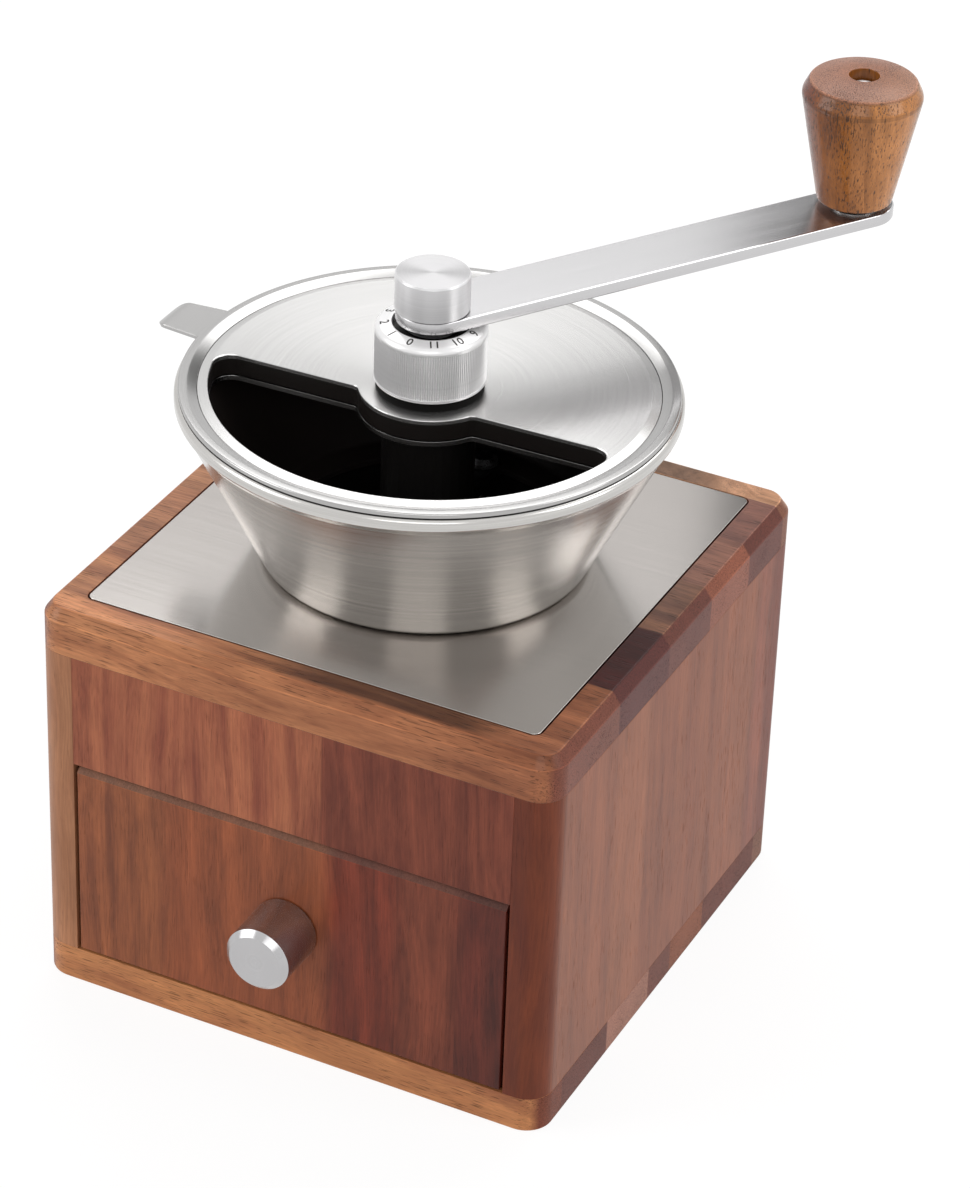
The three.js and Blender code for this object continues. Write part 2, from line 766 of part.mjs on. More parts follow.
// Flat bar with a round end about the shaft and another under the knob
function crankArm() {
  const half = Math.PI / 2;
  const outline = [
    ...arc(armLength + armEndReach, 0, armHalfWidth, -half, half, 2 * cornerSteps),
    ...arc(0, 0, armHalfWidth, half, 3 * half, 2 * cornerSteps),
  ];
  const hole = tenonSide / 2 + clear;
  const bar = slab(outline, armBottom, armTop);
  const square = block(-hole, hole, -hole, hole, armBottom - overrun, armTop + overrun);
  const pin = rod(screwHole, armBottom - overrun, armTop + overrun).translate([armLength, 0, 0]);
  return bar.subtract(square).subtract(pin);
}

function capNut() {
  const top = capBottom + capHeight;
  const bore = studRadius + clear;
  const boreTop = armTop + studLength + clear;
  return turned([
    [bore, capBottom],
    [capRadius, capBottom],
    [capRadius, top - capChamfer],
    [capRadius - capChamfer, top],
    [0, top],
    [0, boreTop],
    [bore, boreTop],
  ]);
}

function knobBush() {
  return ring(screwHole, knobBushRadius, knobBushBottom, knobBushBottom + knobBushHeight, smallSides);
}

// Tapered knob, widest below a bevelled shoulder, bored for its screw
function knob() {
  const at = (height) => knobBottom + height;
  const rim = knobHeight - knobTopRound;
  const crownTop = knobHeight + knobCrown;
  const recess = at(crownTop - knobRecessDepth);
  const crownRadius = (knobTopRadius + knobRecessRadius) / 2;
  const crownShare = 0.75; // how much of the crown is reached half way in
  return turned([
    [screwHole, knobBottom],
    [knobBaseRadius - knobBaseRound, knobBottom],
    [knobBaseRadius, at(knobBaseRound)],
    [knobRadius - knobShoulderRound / 2, at(knobShoulderHeight - 2 * knobShoulderRound)],
    [knobRadius, at(knobShoulderHeight - knobShoulderRound / 2)],
    [knobRadius - knobShoulderRound / 2, at(knobShoulderHeight + knobShoulderRound / 2)],
    [knobTopRadius + knobTopRound / 2, at(rim)],
    [knobTopRadius - knobTopRound / 2, at(knobHeight)],
    [crownRadius, at(knobHeight + knobCrown * crownShare)],
    [knobRecessRadius, at(crownTop)],
    [knobRecessRadius, recess],
    [screwHole, recess],
  ]);
}

// Pan-head screw that points down, with the underside of its head at z = 0
function screw(length, headRadius) {
  return turned([
    [0, -length],
    [screwRadius, -length],
    [screwRadius, 0],
    [headRadius, 0],
    [headRadius, screwHeadHeight / 2],
    [headRadius - screwHeadHeight / 2, screwHeadHeight],
    [0, screwHeadHeight],
  ], smallSides);
}

function knobScrew() {
  const seat = knobBottom + knobHeight + knobCrown - knobRecessDepth + clear;
  return screw(seat - armBottom, knobScrewHeadRadius).translate([0, 0, seat]);
}

function drawerFront() {
  const width = 2 * drawerFrontHalfWidth;
  const height = drawerFrontTop - drawerFrontBottom;
  const corner = drawerFrontBevel / cornerSteps;
  const face = (inset) => roundedRect(width - 2 * inset, height - 2 * inset, corner);
  const bevelStart = drawerFrontThickness - drawerFrontBevel;
  const board = loft([
    lifted(face(0), 0),
    lifted(face(0), bevelStart),
    lifted(face(drawerFrontBevel), drawerFrontThickness),
  ]).subtract(rod(screwHole, -overrun, drawerFrontThickness + overrun));
  return board.rotate([90, 0, 0]).translate([0, drawerBoxFront, pullHeight]);
}

function drawerSide(side) {
  const outer = side * drawerBoxHalfWidth;
  const inner = outer - side * drawerWallThickness;
  const [x0, x1] = [inner, outer].sort((a, b) => a - b);
  return block(x0, x1, drawerBoxFront, drawerBoxBack, drawerBoxBottom, drawerBoxTop);
}

function drawerBack() {
  const x = drawerBoxHalfWidth - drawerWallThickness;
  return block(-x, x, drawerBoxBack - drawerWallThickness, drawerBoxBack, drawerBoxBottom, drawerBoxTop);
}

function drawerFloor() {
  const x = drawerBoxHalfWidth - drawerWallThickness;
  const z0 = drawerBoxBottom + drawerFloorLift;
  const y1 = drawerBoxBack - drawerWallThickness;
  return block(-x, x, drawerBoxFront, y1, z0, z0 + drawerFloorThickness);
}

function drawerPull() {
  const pull = turned([
    [screwHole, 0],
    [pullRadius, 0],
    [pullRadius, pullLength - pullChamfer],
    [pullRadius - pullChamfer, pullLength],
    [0, pullLength],
    [0, pullBoreDepth],
    [screwHole, pullBoreDepth],
  ]);
  return pull.rotate([90, 0, 0]).translate([0, -halfDepth - clear, pullHeight]);
}

function pullScrew() {
  const length = drawerFrontThickness + pullBoreDepth - clear;
  const shape = screw(length, screwHeadRadius).rotate([-90, 0, 0]);
  return shape.translate([0, drawerBoxFront + clear, pullHeight]);
}

function group(...meshes) {
  const made = new THREE.Group();
  made.add(...meshes);
  return made;
}

const woodenCase = group(
  piece('bottom_board', bottomBoard(), brownWood),
  piece('side_panel_left', sidePanel(-1), redWood),
  piece('side_panel_right', sidePanel(1), redWood),
  piece('back_panel', backPanel(), redWood),
  piece('header_panel', headerPanel(), redWood),
  piece('top_board', topBoard(), brownWood),
  piece('top_plate', topPlate(), satinSteel),
);

const mill = group(
  piece('hopper', hopper(), satinSteel),
  piece('hopper_liner', hopperLiner(), blackPlastic),
  piece('burr_housing', burrHousing(), blackPlastic),
  piece('lower_bush', lowerBush(), bronze),
  piece('outer_burr', outerBurr(), burrSteel),
  piece('bearing_column', bearingColumn(), blackPlastic),
);
screwCircle(() => screw(housingScrewLength, screwHeadRadius)).forEach((shape, i) => {
  const fastener = piece(`housing_screw_${i + 1}`, shape, turnedSteel);
  fastener.position.z = housingScrewSeat;
  mill.add(fastener);
});

const lid = group(
  piece('lid_body', lidBody(), blackPlastic),
  piece('lid_disc', lidDisc(), turnedSteel),
  piece('dial_washer', dialWasher(), blackPlastic),
  piece('shutter', shutter(), satinSteel),
  piece('grind_dial', dial(), turnedSteel),
  piece('lift_sleeve', liftSleeve(), turnedSteel),
);

const handle = group(
  piece('knob_bush', knobBush(), turnedSteel),
  piece('knob_screw', knobScrew(), turnedSteel),
  piece('crank_knob', knob(), paleWood),
);
handle.position.x = armLength;

const crank = group(
  piece('shaft', shaft(), turnedSteel),
  piece('inner_burr', innerBurr(), burrSteel),
  piece('burr_nut', burrNut(), turnedSteel),
  piece('crank_arm', crankArm(), satinSteel),
  piece('cap_nut', capNut(), turnedSteel),
  handle,
);
crank.rotation.z = radians(crankAngle);

const drawer = group(
  piece('drawer_front', drawerFront(), redWood),
  piece('drawer_side_left', drawerSide(-1), paleWood),
  piece('drawer_side_right', drawerSide(1), paleWood),
  piece('drawer_back', drawerBack(), paleWood),
  piece('drawer_floor', drawerFloor(), paleWood),
  piece('drawer_pull', drawerPull(), turnedSteel),
  piece('pull_screw', pullScrew(), turnedSteel),
);

export default group(woodenCase, mill, lid, crank, drawer);
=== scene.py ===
"""Looks of a box coffee mill: a wooden case with a grounds drawer, a steel hopper and lid, a dial
that sets the grind and a hand crank. Sizes are in millimetres and are turned to metres where a
mesh is made. The mill stands on z = 0, the drawer opens toward -Y and the shaft is the Z axis."""
import math

import bmesh
import bpy
from mathutils import Matrix, Vector


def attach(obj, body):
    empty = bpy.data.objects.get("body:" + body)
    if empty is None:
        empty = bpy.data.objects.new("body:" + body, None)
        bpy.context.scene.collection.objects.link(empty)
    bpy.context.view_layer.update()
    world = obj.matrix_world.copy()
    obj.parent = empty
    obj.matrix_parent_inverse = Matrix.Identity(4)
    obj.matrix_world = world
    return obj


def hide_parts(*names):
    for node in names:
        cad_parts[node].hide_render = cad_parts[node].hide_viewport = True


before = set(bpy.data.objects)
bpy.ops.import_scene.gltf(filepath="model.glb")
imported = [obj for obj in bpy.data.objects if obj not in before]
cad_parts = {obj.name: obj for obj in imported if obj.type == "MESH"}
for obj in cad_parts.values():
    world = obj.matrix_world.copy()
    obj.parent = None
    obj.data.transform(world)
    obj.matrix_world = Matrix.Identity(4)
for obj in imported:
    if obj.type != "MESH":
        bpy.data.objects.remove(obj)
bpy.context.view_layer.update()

# Camera: stands in front, high and a little to the right, with a long lens, and is tipped by two
# degrees. Its angles, in radians, and its distances come from the edges of the case in the
# photograph, taken as 970 by 1188 pixels.
AZIMUTH = 0.44600727
ELEVATION = 0.56458476
ROLL = 0.03693153
EYE_DISTANCE = 1131.437
EYE_RIGHT = 15.111
EYE_UP = 81.215
IMAGE_HEIGHT = 1188
LENS_PIXELS = 4348.10684
SENSOR_HEIGHT = 36
scene = bpy.context.scene


def placed(name, data):
    """Puts new data into the scene as an object at the origin."""
    made = bpy.data.objects.new(name, data)
    scene.collection.objects.link(made)
    return made


toward_eye = Vector((
    math.sin(AZIMUTH) * math.cos(ELEVATION),
    -math.cos(AZIMUTH) * math.cos(ELEVATION),
    math.sin(ELEVATION),
))
level_right = Vector((math.cos(AZIMUTH), math.sin(AZIMUTH), 0))
level_up = toward_eye.cross(level_right)
eye = (toward_eye * EYE_DISTANCE + level_right * EYE_RIGHT + level_up * EYE_UP) / 1000
image_right = level_right * math.cos(ROLL) + level_up * math.sin(ROLL)
image_up = level_up * math.cos(ROLL) - level_right * math.sin(ROLL)

lens = bpy.data.cameras.new("long_lens")
lens.sensor_fit = "VERTICAL"
lens.sensor_height = SENSOR_HEIGHT
lens.lens = LENS_PIXELS * SENSOR_HEIGHT / IMAGE_HEIGHT
camera = placed("camera", lens)
turn = Matrix((image_right, image_up, toward_eye)).transposed()
camera.matrix_world = Matrix.Translation(eye) @ turn.to_4x4()
scene.camera = camera
scene.view_settings.view_transform = "Standard"


# Studio: a white room and a white paper floor. The camera, the steel and the gloss see white, while
# the light that the room gives the object is softer, so the large lamps still shape it.
def linear(code):
    """Turns an sRGB hex colour into the linear colour that a shader wants."""
    parts = [int(code[i:i + 2], 16) / 255 for i in (0, 2, 4)]
    return [c / 12.92 if c <= 0.04045 else ((c + 0.055) / 1.055) ** 2.4 for c in parts] + [1]


def add(tree, kind, sockets=None, stops=None, **settings):
    """Adds one node with its settings; a kind without Node in its name is a shader node. A socket,
    by its name or number, is given a value, or a node or socket to link. Map Range turns the range
    from 1 to 2 into the range from 3 to 4, and a colour Mix goes from 6 to 7."""
    made = tree.nodes.new(kind if "Node" in kind else "ShaderNode" + kind)
    for key, value in settings.items():
        setattr(made, key, value)
    if stops:
        elements = made.color_ramp.elements
        elements.remove(elements[1])
        elements[0].position, elements[0].color = stops[0]
        for place, colour in stops[1:]:
            elements.new(place).color = colour
    for key, value in (sockets or {}).items():
        if isinstance(value, bpy.types.Node):
            value = value.outputs[0]
        if isinstance(value, bpy.types.NodeSocket):
            tree.links.new(value, made.inputs[key])
        else:
            made.inputs[key].default_value = value
    return made


def new_material(name):
    """Starts a material and returns it with its emptied node tree."""
    material = bpy.data.materials.new(name)
    material.use_nodes = True
    material.node_tree.nodes.clear()
    return material, material.node_tree


def seen_rays(tree):
    """1 for rays from the camera, off metal or through glass, which should find plain white."""
    path = add(tree, "LightPath").outputs
    seen = add(tree, "Math", {0: path["Is Camera Ray"], 1: path["Is Glossy Ray"]}, operation="MAXIMUM")
    return add(tree, "Math", {0: seen, 1: path["Is Transmission Ray"]}, operation="MAXIMUM")


ROOM_LIGHT = 0.42
FLOOR_REACH = 4.0
FLOOR_GLOW = 1.09
FLOOR_GLOW_SHARE = 0.8
room = bpy.data.worlds.new("white_room")
scene.world = room
room.use_nodes = True
tree = room.node_tree
tree.nodes.clear()
level = add(tree, "MapRange", {0: seen_rays(tree), 3: ROOM_LIGHT, 4: 1.0})
white = add(tree, "Background", {"Color": linear("ffffff"), "Strength": level})
add(tree, "OutputWorld", {"Surface": white})

paper, tree = new_material("white_paper")
lift = add(tree, "Math", {0: seen_rays(tree), 1: FLOOR_GLOW_SHARE}, operation="MULTIPLY")
matt = add(tree, "BsdfDiffuse", {"Color": linear("f4f4f4")})
glow = add(tree, "Emission", {"Color": linear("ffffff"), "Strength": FLOOR_GLOW})
mixed = add(tree, "MixShader", {0: lift, 1: matt, 2: glow})
add(tree, "OutputMaterial", {"Surface": mixed})


def sheet(name, material, right, up):
    """Flat studio sheet that reaches as far either way as its two vectors, in metres."""
    mesh = bpy.data.meshes.new(name)
    corners = [Vector(right) * x + Vector(up) * y for x, y in ((-1, -1), (1, -1), (1, 1), (-1, 1))]
    mesh.from_pydata(corners, [], [(0, 1, 2, 3)])
    mesh.materials.append(material)
    return placed(name, mesh)


floor = sheet("studio_floor", paper, (FLOOR_REACH, 0, 0), (0, FLOOR_REACH, 0))


def softbox(name, place, size, watts):
    """Large soft lamp at a place in metres, aimed at the middle of the mill."""
    lamp = bpy.data.lights.new(name, "AREA")
    lamp.shape = "RECTANGLE"
    lamp.size, lamp.size_y = size
    lamp.energy = watts
    aim = Vector((0, 0, 0.1)) - Vector(place)
    turn = aim.to_track_quat("-Z", "Y").to_matrix().to_4x4()
    placed(name, lamp).matrix_world = Matrix.Translation(place) @ turn


softbox("lamp_left", (-1.0, -0.75, 0.65), (0.7, 0.9), 5.5)
softbox("lamp_right", (1.15, 0.1, 0.7), (0.6, 0.9), 4.0)
softbox("lamp_top", (-0.15, 0.65, 1.0), (1.2, 0.6), 5.0)
softbox("lamp_front", (0.5, -1.2, 0.9), (0.9, 0.6), 3.0)

# A grey flag behind the knob, out of the picture, that only steel mirrors: it draws the shade at
# the knob's end of the crank
FLAG_PLACE = (-0.088, 0.61, 0.451)
FLAG_TURN = math.radians(20.7)
cloth, tree = new_material("grey_cloth")
matt = add(tree, "BsdfDiffuse", {"Color": linear("6a6a6a")})
add(tree, "OutputMaterial", {"Surface": matt})
flag = sheet("dark_flag", cloth, (0.075, 0, 0), (0, 0, 0.09))
flag.matrix_world = Matrix.Translation(FLAG_PLACE) @ Matrix.Rotation(FLAG_TURN, 4, "Z")
flag.visible_camera = False
flag.visible_diffuse = False
flag.visible_shadow = False


# Case: boards of oiled acacia, glued up from narrow staves with the grain running along them. The
# top and bottom boards run left to right, so their ends show end grain; the others stand upright.
STAVE_REACH = 80.0
JOINT_WIDTH = 0.05
SPLIT_BLEND = 42.0
STAVE_SHIFT = 310.0
BOARD_SHIFT = 97.0
BAND_REACH = 0.15
PORE_DEPTH = 0.52
STREAK_SHADE = 0.34
END_GRAIN_DULLER = 0.14
# Painted highlight on sloping eased edges
PAINTED_EDGE_LIFT = 1.32
WOOD_RELIEF = 0.0001


def acacia(name, grain, across, staves, gloss, seed, end_grain="8d6650", split=None, figure=1.0,
           pores=1.0, sheen_level=0.25, streak_and_sheen=None, soft=0.0):
    """Oiled acacia: long fibres, growth bands, fine dark pores and a satin oil film. A stave is
    (start in mm, light colour, dark colour), and may name its own end grain colour. Split adds a
    second row of staves that fades in round a place along the grain, and soft blurs the colour
    change at each joint. Figure and pores say how strongly the bands and the pores show, gloss is
    the roughness and sheen_level the strength of the film. A dark streak of heartwood may run
    between two places along the grain, past a place across it. Beside it lies a painted sheen:
    up-facing wood near that edge is lightened, most where it lies before the streak begins.
    Sloping faces such as eased edges get a painted highlight."""
    material, tree = new_material(name)
    place = add(tree, "TexCoord")
    mm = add(tree, "VectorMath", {0: place.outputs["Object"], 3: 1000.0}, operation="SCALE")
    axes = add(tree, "SeparateXYZ", {0: mm}).outputs
    u = axes[grain]
    v = axes[across]
    w = axes[[n for n in "XYZ" if n not in (grain, across)][0]]

    # Which stave: steps of colour across the board, and a different stretch of tree for each
    share = add(tree, "MapRange", {0: v, 1: -STAVE_REACH, 2: STAVE_REACH})
    looks = []
    for row in [staves] if split is None else [staves, split[1]]:
        row = [(*stave, end_grain)[:4] for stave in row]
        joints = [(stave[0] + STAVE_REACH) / (2 * STAVE_REACH) for stave in row]
        ahead_of = soft / (2 * STAVE_REACH)
        past = (soft + JOINT_WIDTH) / (2 * STAVE_REACH)
        sets = []
        for part in (1, 2, 3):
            colours = [linear(stave[part]) for stave in row]
            stops = [(0.0, colours[0])]
            for i in range(1, len(row)):
                stops += [(joints[i] - ahead_of, colours[i - 1]), (joints[i] + past, colours[i])]
            sets.append(add(tree, "ValToRGB", {0: share}, stops))
        greys = [(i * 0.37 + 0.13) % 1.0 for i in range(len(row))]
        step = add(tree, "ValToRGB", {0: share}, [(j, (g, g, g, 1)) for j, g in zip(joints, greys)])
        step.color_ramp.interpolation = "CONSTANT"
        sets.append(step)
        looks.append(sets)
    light, dark, end, shift = looks[0]
    if split is not None:
        beyond = add(tree, "MapRange", {0: u, 1: split[0] - SPLIT_BLEND, 2: split[0] + SPLIT_BLEND})
        light, dark, end, shift = [
            add(tree, "Mix", {0: beyond, 6: a, 7: b}, data_type="RGBA").outputs[2]
            for a, b in zip(looks[0], looks[1])
        ]
    jump = {0: shift, 1: STAVE_SHIFT, 2: seed * BOARD_SHIFT}
    jump = add(tree, "Math", jump, operation="MULTIPLY_ADD")
    grainwise = add(tree, "Math", {0: u, 1: jump}, operation="ADD")
    outward = add(tree, "Math", {0: w, 1: jump}, operation="ADD")
    trunk = add(tree, "CombineXYZ", {0: grainwise, 1: v, 2: outward})

    def noise(space, stretch, detail=2.0, roughness=0.5):
        """Noise in a space of millimetres, with its cells per millimetre on each axis."""
        scaled = add(tree, "VectorMath", {0: space, 1: stretch}, operation="MULTIPLY")
        sockets = {"Vector": scaled, "Scale": 1.0, "Detail": detail, "Roughness": roughness}
        return add(tree, "TexNoise", sockets)

    # Slow wander of the grain, up to 7 mm to either side
    wander = noise(trunk, (0.009, 0.035, 0.035)).outputs["Color"]
    wander = add(tree, "VectorMath", {0: wander, 1: (0.5, 0.5, 0.5)}, operation="SUBTRACT")
    wander = add(tree, "VectorMath", {0: wander, 1: (0.0, 15.0, 15.0)}, operation="MULTIPLY")
    bent = add(tree, "VectorMath", {0: trunk, 1: wander}, operation="ADD")

    # Growth bands, 2 to 6 mm apart, round a heart that lies off the board, and a mottle over them
    heart = add(tree, "VectorMath", {0: bent, 1: (0.05, 1.0, 0.55)}, operation="MULTIPLY")
    heart = add(tree, "SeparateXYZ", {0: heart}).outputs
    rings = add(tree, "Math", {0: heart[1], 1: heart[2]}, operation="ADD")
    rings = add(tree, "Math", {0: rings, 1: heart[0]}, operation="ADD")
    bands = add(tree, "TexNoise", {
        "W": rings, "Scale": 0.16, "Detail": 4.0, "Roughness": 0.62,
    }, noise_dimensions="1D")
    mottle = noise(bent, (0.045, 0.17, 0.17), 3.0, 0.6)
    bands = add(tree, "Mix", {0: 0.5, 2: bands, 3: mottle}).outputs[0]
    reach = BAND_REACH / figure
    bands = add(tree, "MapRange", {0: bands, 1: 0.5 - reach, 2: 0.5 + reach})

    # Fibres about a third of a millimetre wide, drawn a little coarse so that they show
    fibre = noise(bent, (0.05, 2.1, 2.1), 4.0, 0.68)
    fibre_tone = add(tree, "MapRange", {0: fibre, 1: 0.34, 2: 0.66, 3: 0.84, 4: 1.14})

    # Open pores: dark dashes 2 to 5 mm long and about 0.3 mm wide that come in drifts, and dots on
    # the end grain
    pore = noise(trunk, (0.2, 3.2, 3.2), 1.0)
    drift = noise(trunk, (0.03, 0.11, 0.11))
    pore = add(tree, "Math", {0: drift, 1: 0.3, 2: pore}, operation="MULTIPLY_ADD")
    pore_edge = 0.82 - 0.06 * pores
    pore_heart = 0.88 - 0.05 * pores
    pore = add(tree, "MapRange", {0: pore, 1: pore_edge, 2: pore_heart})
    hole = add(tree, "MapRange", {0: pore, 3: 1.0, 4: 1 - PORE_DEPTH * pores})

    # Cloudy light and dark over a few centimetres
    cloud = noise(trunk, (0.018, 0.06, 0.06))
    cloud = add(tree, "MapRange", {0: cloud, 1: 0.3, 2: 0.7, 3: 0.9, 4: 1.1})

    long_grain = add(tree, "Mix", {0: bands, 6: dark, 7: light}, data_type="RGBA").outputs[2]
    facing = add(tree, "SeparateXYZ", {0: place.outputs["Normal"]}).outputs
    cut_end = add(tree, "Math", {0: facing[grain]}, operation="ABSOLUTE")
    cut_end = add(tree, "MapRange", {0: cut_end, 1: 0.55, 2: 0.8})
    speckle = noise(trunk, (0.3, 2.6, 2.6), 3.0, 0.7)
    end_tone = add(tree, "MapRange", {0: speckle, 1: 0.3, 2: 0.7, 3: 0.68, 4: 1.22})
    cut = add(tree, "VectorMath", {0: end, 3: end_tone}, operation="SCALE")
    wood = add(tree, "Mix", {0: cut_end, 6: long_grain, 7: cut}, data_type="RGBA").outputs[2]
    factors = [cloud, hole]

    # Heartwood on the top face: a dark streak with soft ends and a ragged side. Beside it along the
    # front edge, up-facing wood is lightened by a painted sheen, most before the streak begins.
    if streak_and_sheen is not None:
        start, stop, side = streak_and_sheen
        smooth = {"interpolation_type": "SMOOTHSTEP"}
        rise = add(tree, "MapRange", {0: u, 1: start - 16, 2: start + 16}, **smooth)
        fall = add(tree, "MapRange", {0: u, 1: stop + 9, 2: stop - 9}, **smooth)
        ragged = add(tree, "Math", {0: fibre, 1: 2.4, 2: v}, operation="MULTIPLY_ADD")
        inside = add(tree, "MapRange", {0: ragged, 1: side + 0.6, 2: side + 2.2})
        level = add(tree, "MapRange", {0: facing[2], 1: 0.9, 2: 0.99})
        edge = add(tree, "MapRange", {0: v, 1: side + 7, 2: side + 4})
        # Painted sheen: up-facing wood along the front edge is lightened, most before the streak begins
        painted_sheen = add(tree, "MapRange", {0: u, 1: start - 8, 2: start - 46, 3: 0.1, 4: 0.5})
        streak = rise
        for limit in (fall, inside, level):
            streak = add(tree, "Math", {0: streak, 1: limit}, operation="MULTIPLY")
        for limit in (edge, level):
            painted_sheen = add(tree, "Math", {0: painted_sheen, 1: limit}, operation="MULTIPLY")
        factors.append(add(tree, "MapRange", {0: streak, 3: 1.0, 4: STREAK_SHADE}))
        factors.append(add(tree, "Math", {0: painted_sheen, 1: 1.0}, operation="ADD"))

    # Painted highlight: faces that slope part way between level and upright, as on eased edges, are
    # lightened
    slant = add(tree, "Math", {0: facing[2]}, operation="ABSOLUTE")
    upper = add(tree, "Math", {0: slant, 1: 0.86, 2: 0.07}, operation="COMPARE")
    lower = add(tree, "Math", {0: slant, 1: 0.33, 2: 0.16}, operation="COMPARE")
    painted_edge_highlight = add(tree, "Math", {0: upper, 1: lower}, operation="ADD")
    factors.append(add(tree, "MapRange", {0: painted_edge_highlight, 3: 1.0, 4: PAINTED_EDGE_LIFT}))
    tone = fibre_tone
    for factor in factors:
        tone = add(tree, "Math", {0: tone, 1: factor}, operation="MULTIPLY")
    wood = add(tree, "VectorMath", {0: wood, 3: tone}, operation="SCALE")

    # The oil film: duller over the pores and on the end grain, and it follows the fibres
    rough = add(tree, "MapRange", {0: pore, 3: gloss, 4: gloss + 0.2})
    rough = add(tree, "Math", {0: cut_end, 1: END_GRAIN_DULLER, 2: rough}, operation="MULTIPLY_ADD")
    relief = add(tree, "Math", {0: fibre, 1: 0.25}, operation="MULTIPLY")
    relief = add(tree, "Math", {0: relief, 1: pore}, operation="SUBTRACT")
    bump = add(tree, "Bump", {"Strength": 0.3, "Distance": WOOD_RELIEF, "Height": relief})
    skin = add(tree, "BsdfPrincipled", {
        "Base Color": wood, "Roughness": rough, "IOR": 1.5, "Specular IOR Level": sheen_level,
        "Normal": bump,
    })
    add(tree, "OutputMaterial", {"Surface": skin})
    return material


def rounded(corners, steps=8, closed=True):
    """Flat outline; a corner written (x, y, radius) is rounded by an arc of that radius."""
    points = []
    count = len(corners)
    for i, corner in enumerate(corners):
        here = Vector(corner[:2])
        radius = corner[2] if len(corner) > 2 else 0
        if radius == 0 or (not closed and i in (0, count - 1)):
            points.append(here)
            continue
        back = (Vector(corners[i - 1][:2]) - here).normalized()
        ahead = (Vector(corners[(i + 1) % count][:2]) - here).normalized()
        half = back.angle(ahead) / 2
        middle = here + (back + ahead).normalized() * (radius / math.sin(half))
        start = here + back * (radius / math.tan(half)) - middle
        stop = here + ahead * (radius / math.tan(half)) - middle
        first = math.atan2(start.y, start.x)
        sweep = math.remainder(math.atan2(stop.y, stop.x) - first, math.tau)
        for k in range(steps + 1):
            angle = first + sweep * k / steps
            points.append(middle + Vector((math.cos(angle), math.sin(angle))) * radius)
    return points


def piece(name, form, sharp):
    """Turns a bmesh in millimetres into an object in metres with outward faces. Edges that turn
    by more degrees than sharp stay sharp; with 0 they are left to ease()."""
    bmesh.ops.remove_doubles(form, verts=form.verts, dist=1e-5)
    bmesh.ops.recalc_face_normals(form, faces=form.faces)
    bmesh.ops.scale(form, vec=(0.001, 0.001, 0.001), verts=form.verts)
    mesh = bpy.data.meshes.new(name)
    form.to_mesh(mesh)
    form.free()
    mesh.shade_smooth()
    if sharp:
        mesh.set_sharp_from_angle(angle=math.radians(sharp))
    return placed(name, mesh)


def skin_over(rings, ends="capped", form=None):
    """Lays faces over rings of equal count, in a new form or one that is there. The ends are
    capped, open, or joined to each other."""
    form = bmesh.new() if form is None else form
    levels = [[form.verts.new(point) for point in ring] for ring in rings]
    pairs = list(zip(levels, levels[1:]))
    if ends == "joined":
        pairs.append((levels[-1], levels[0]))
    for lower, upper in pairs:
        for i in range(len(lower)):
            k = (i + 1) % len(lower)
            form.faces.new((lower[i], lower[k], upper[k], upper[i]))
    if ends == "capped":
        form.faces.new(list(reversed(levels[0])))
        form.faces.new(levels[-1])
    return form


def block(low, high):
    """Plain block between two corners; its edges are eased afterwards."""
    flat = [(low[0], low[1]), (high[0], low[1]), (high[0], high[1]), (low[0], high[1])]
    return skin_over([[(x, y, z) for x, y in flat] for z in (low[2], high[2])])


def shade_flats(made):
    """Keeps the broad flats looking flat beside small rounds."""
    level_out = made.modifiers.new("even_shading", "WEIGHTED_NORMAL")
    level_out.keep_sharp = True


def ease(made, width, segments):
    """Breaks every sharp edge by a small round."""
    bevel = made.modifiers.new("eased_edges", "BEVEL")
    bevel.width = width / 1000
    bevel.segments = segments
    bevel.limit_method = "ANGLE"
    bevel.angle_limit = math.radians(35)
    shade_flats(made)


def dress(mesh, material):
    """Gives a mesh one material."""
    mesh.materials.clear()
    mesh.materials.append(material)


def fit(made, material, body, slot, *nodes):
    """Dresses a piece, ties it to its body and hides the CAD nodes that it stands for."""
    dress(made.data, material)
    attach(made, body)
    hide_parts(*nodes)


case_half = 70.0
corner_radius = 7.0
case_top = 109.2
board_top_z = 97.2
board_bottom_z = 9.8
inner_half = 59.7
back_inner = 59.5
header_inner = 58.0
header_low = 66.2
chamfer = 2.2
chamfer_drop = 3.0
plate_depth = 1.5
throat_radius = 27.3
panel_ease = 0.12


def plate_outline(half, radius):
    """Outline of a square with rounded corners."""
    return rounded([(x * half, y * half, radius) for x, y in ((1, -1), (1, 1), (-1, 1), (-1, -1))], 10)


def case_outline(inset):
    """Outline of the case in plan, drawn in by an inset."""
    return plate_outline(case_half - inset, corner_radius - inset)


def round_like(outline, radius):
    """Circle with one point in the direction of each point of an outline."""
    return [point.normalized() * radius for point in outline]


def at_height(outline, z):
    """Outline lifted to a height."""
    return [(point[0], point[1], z) for point in outline]
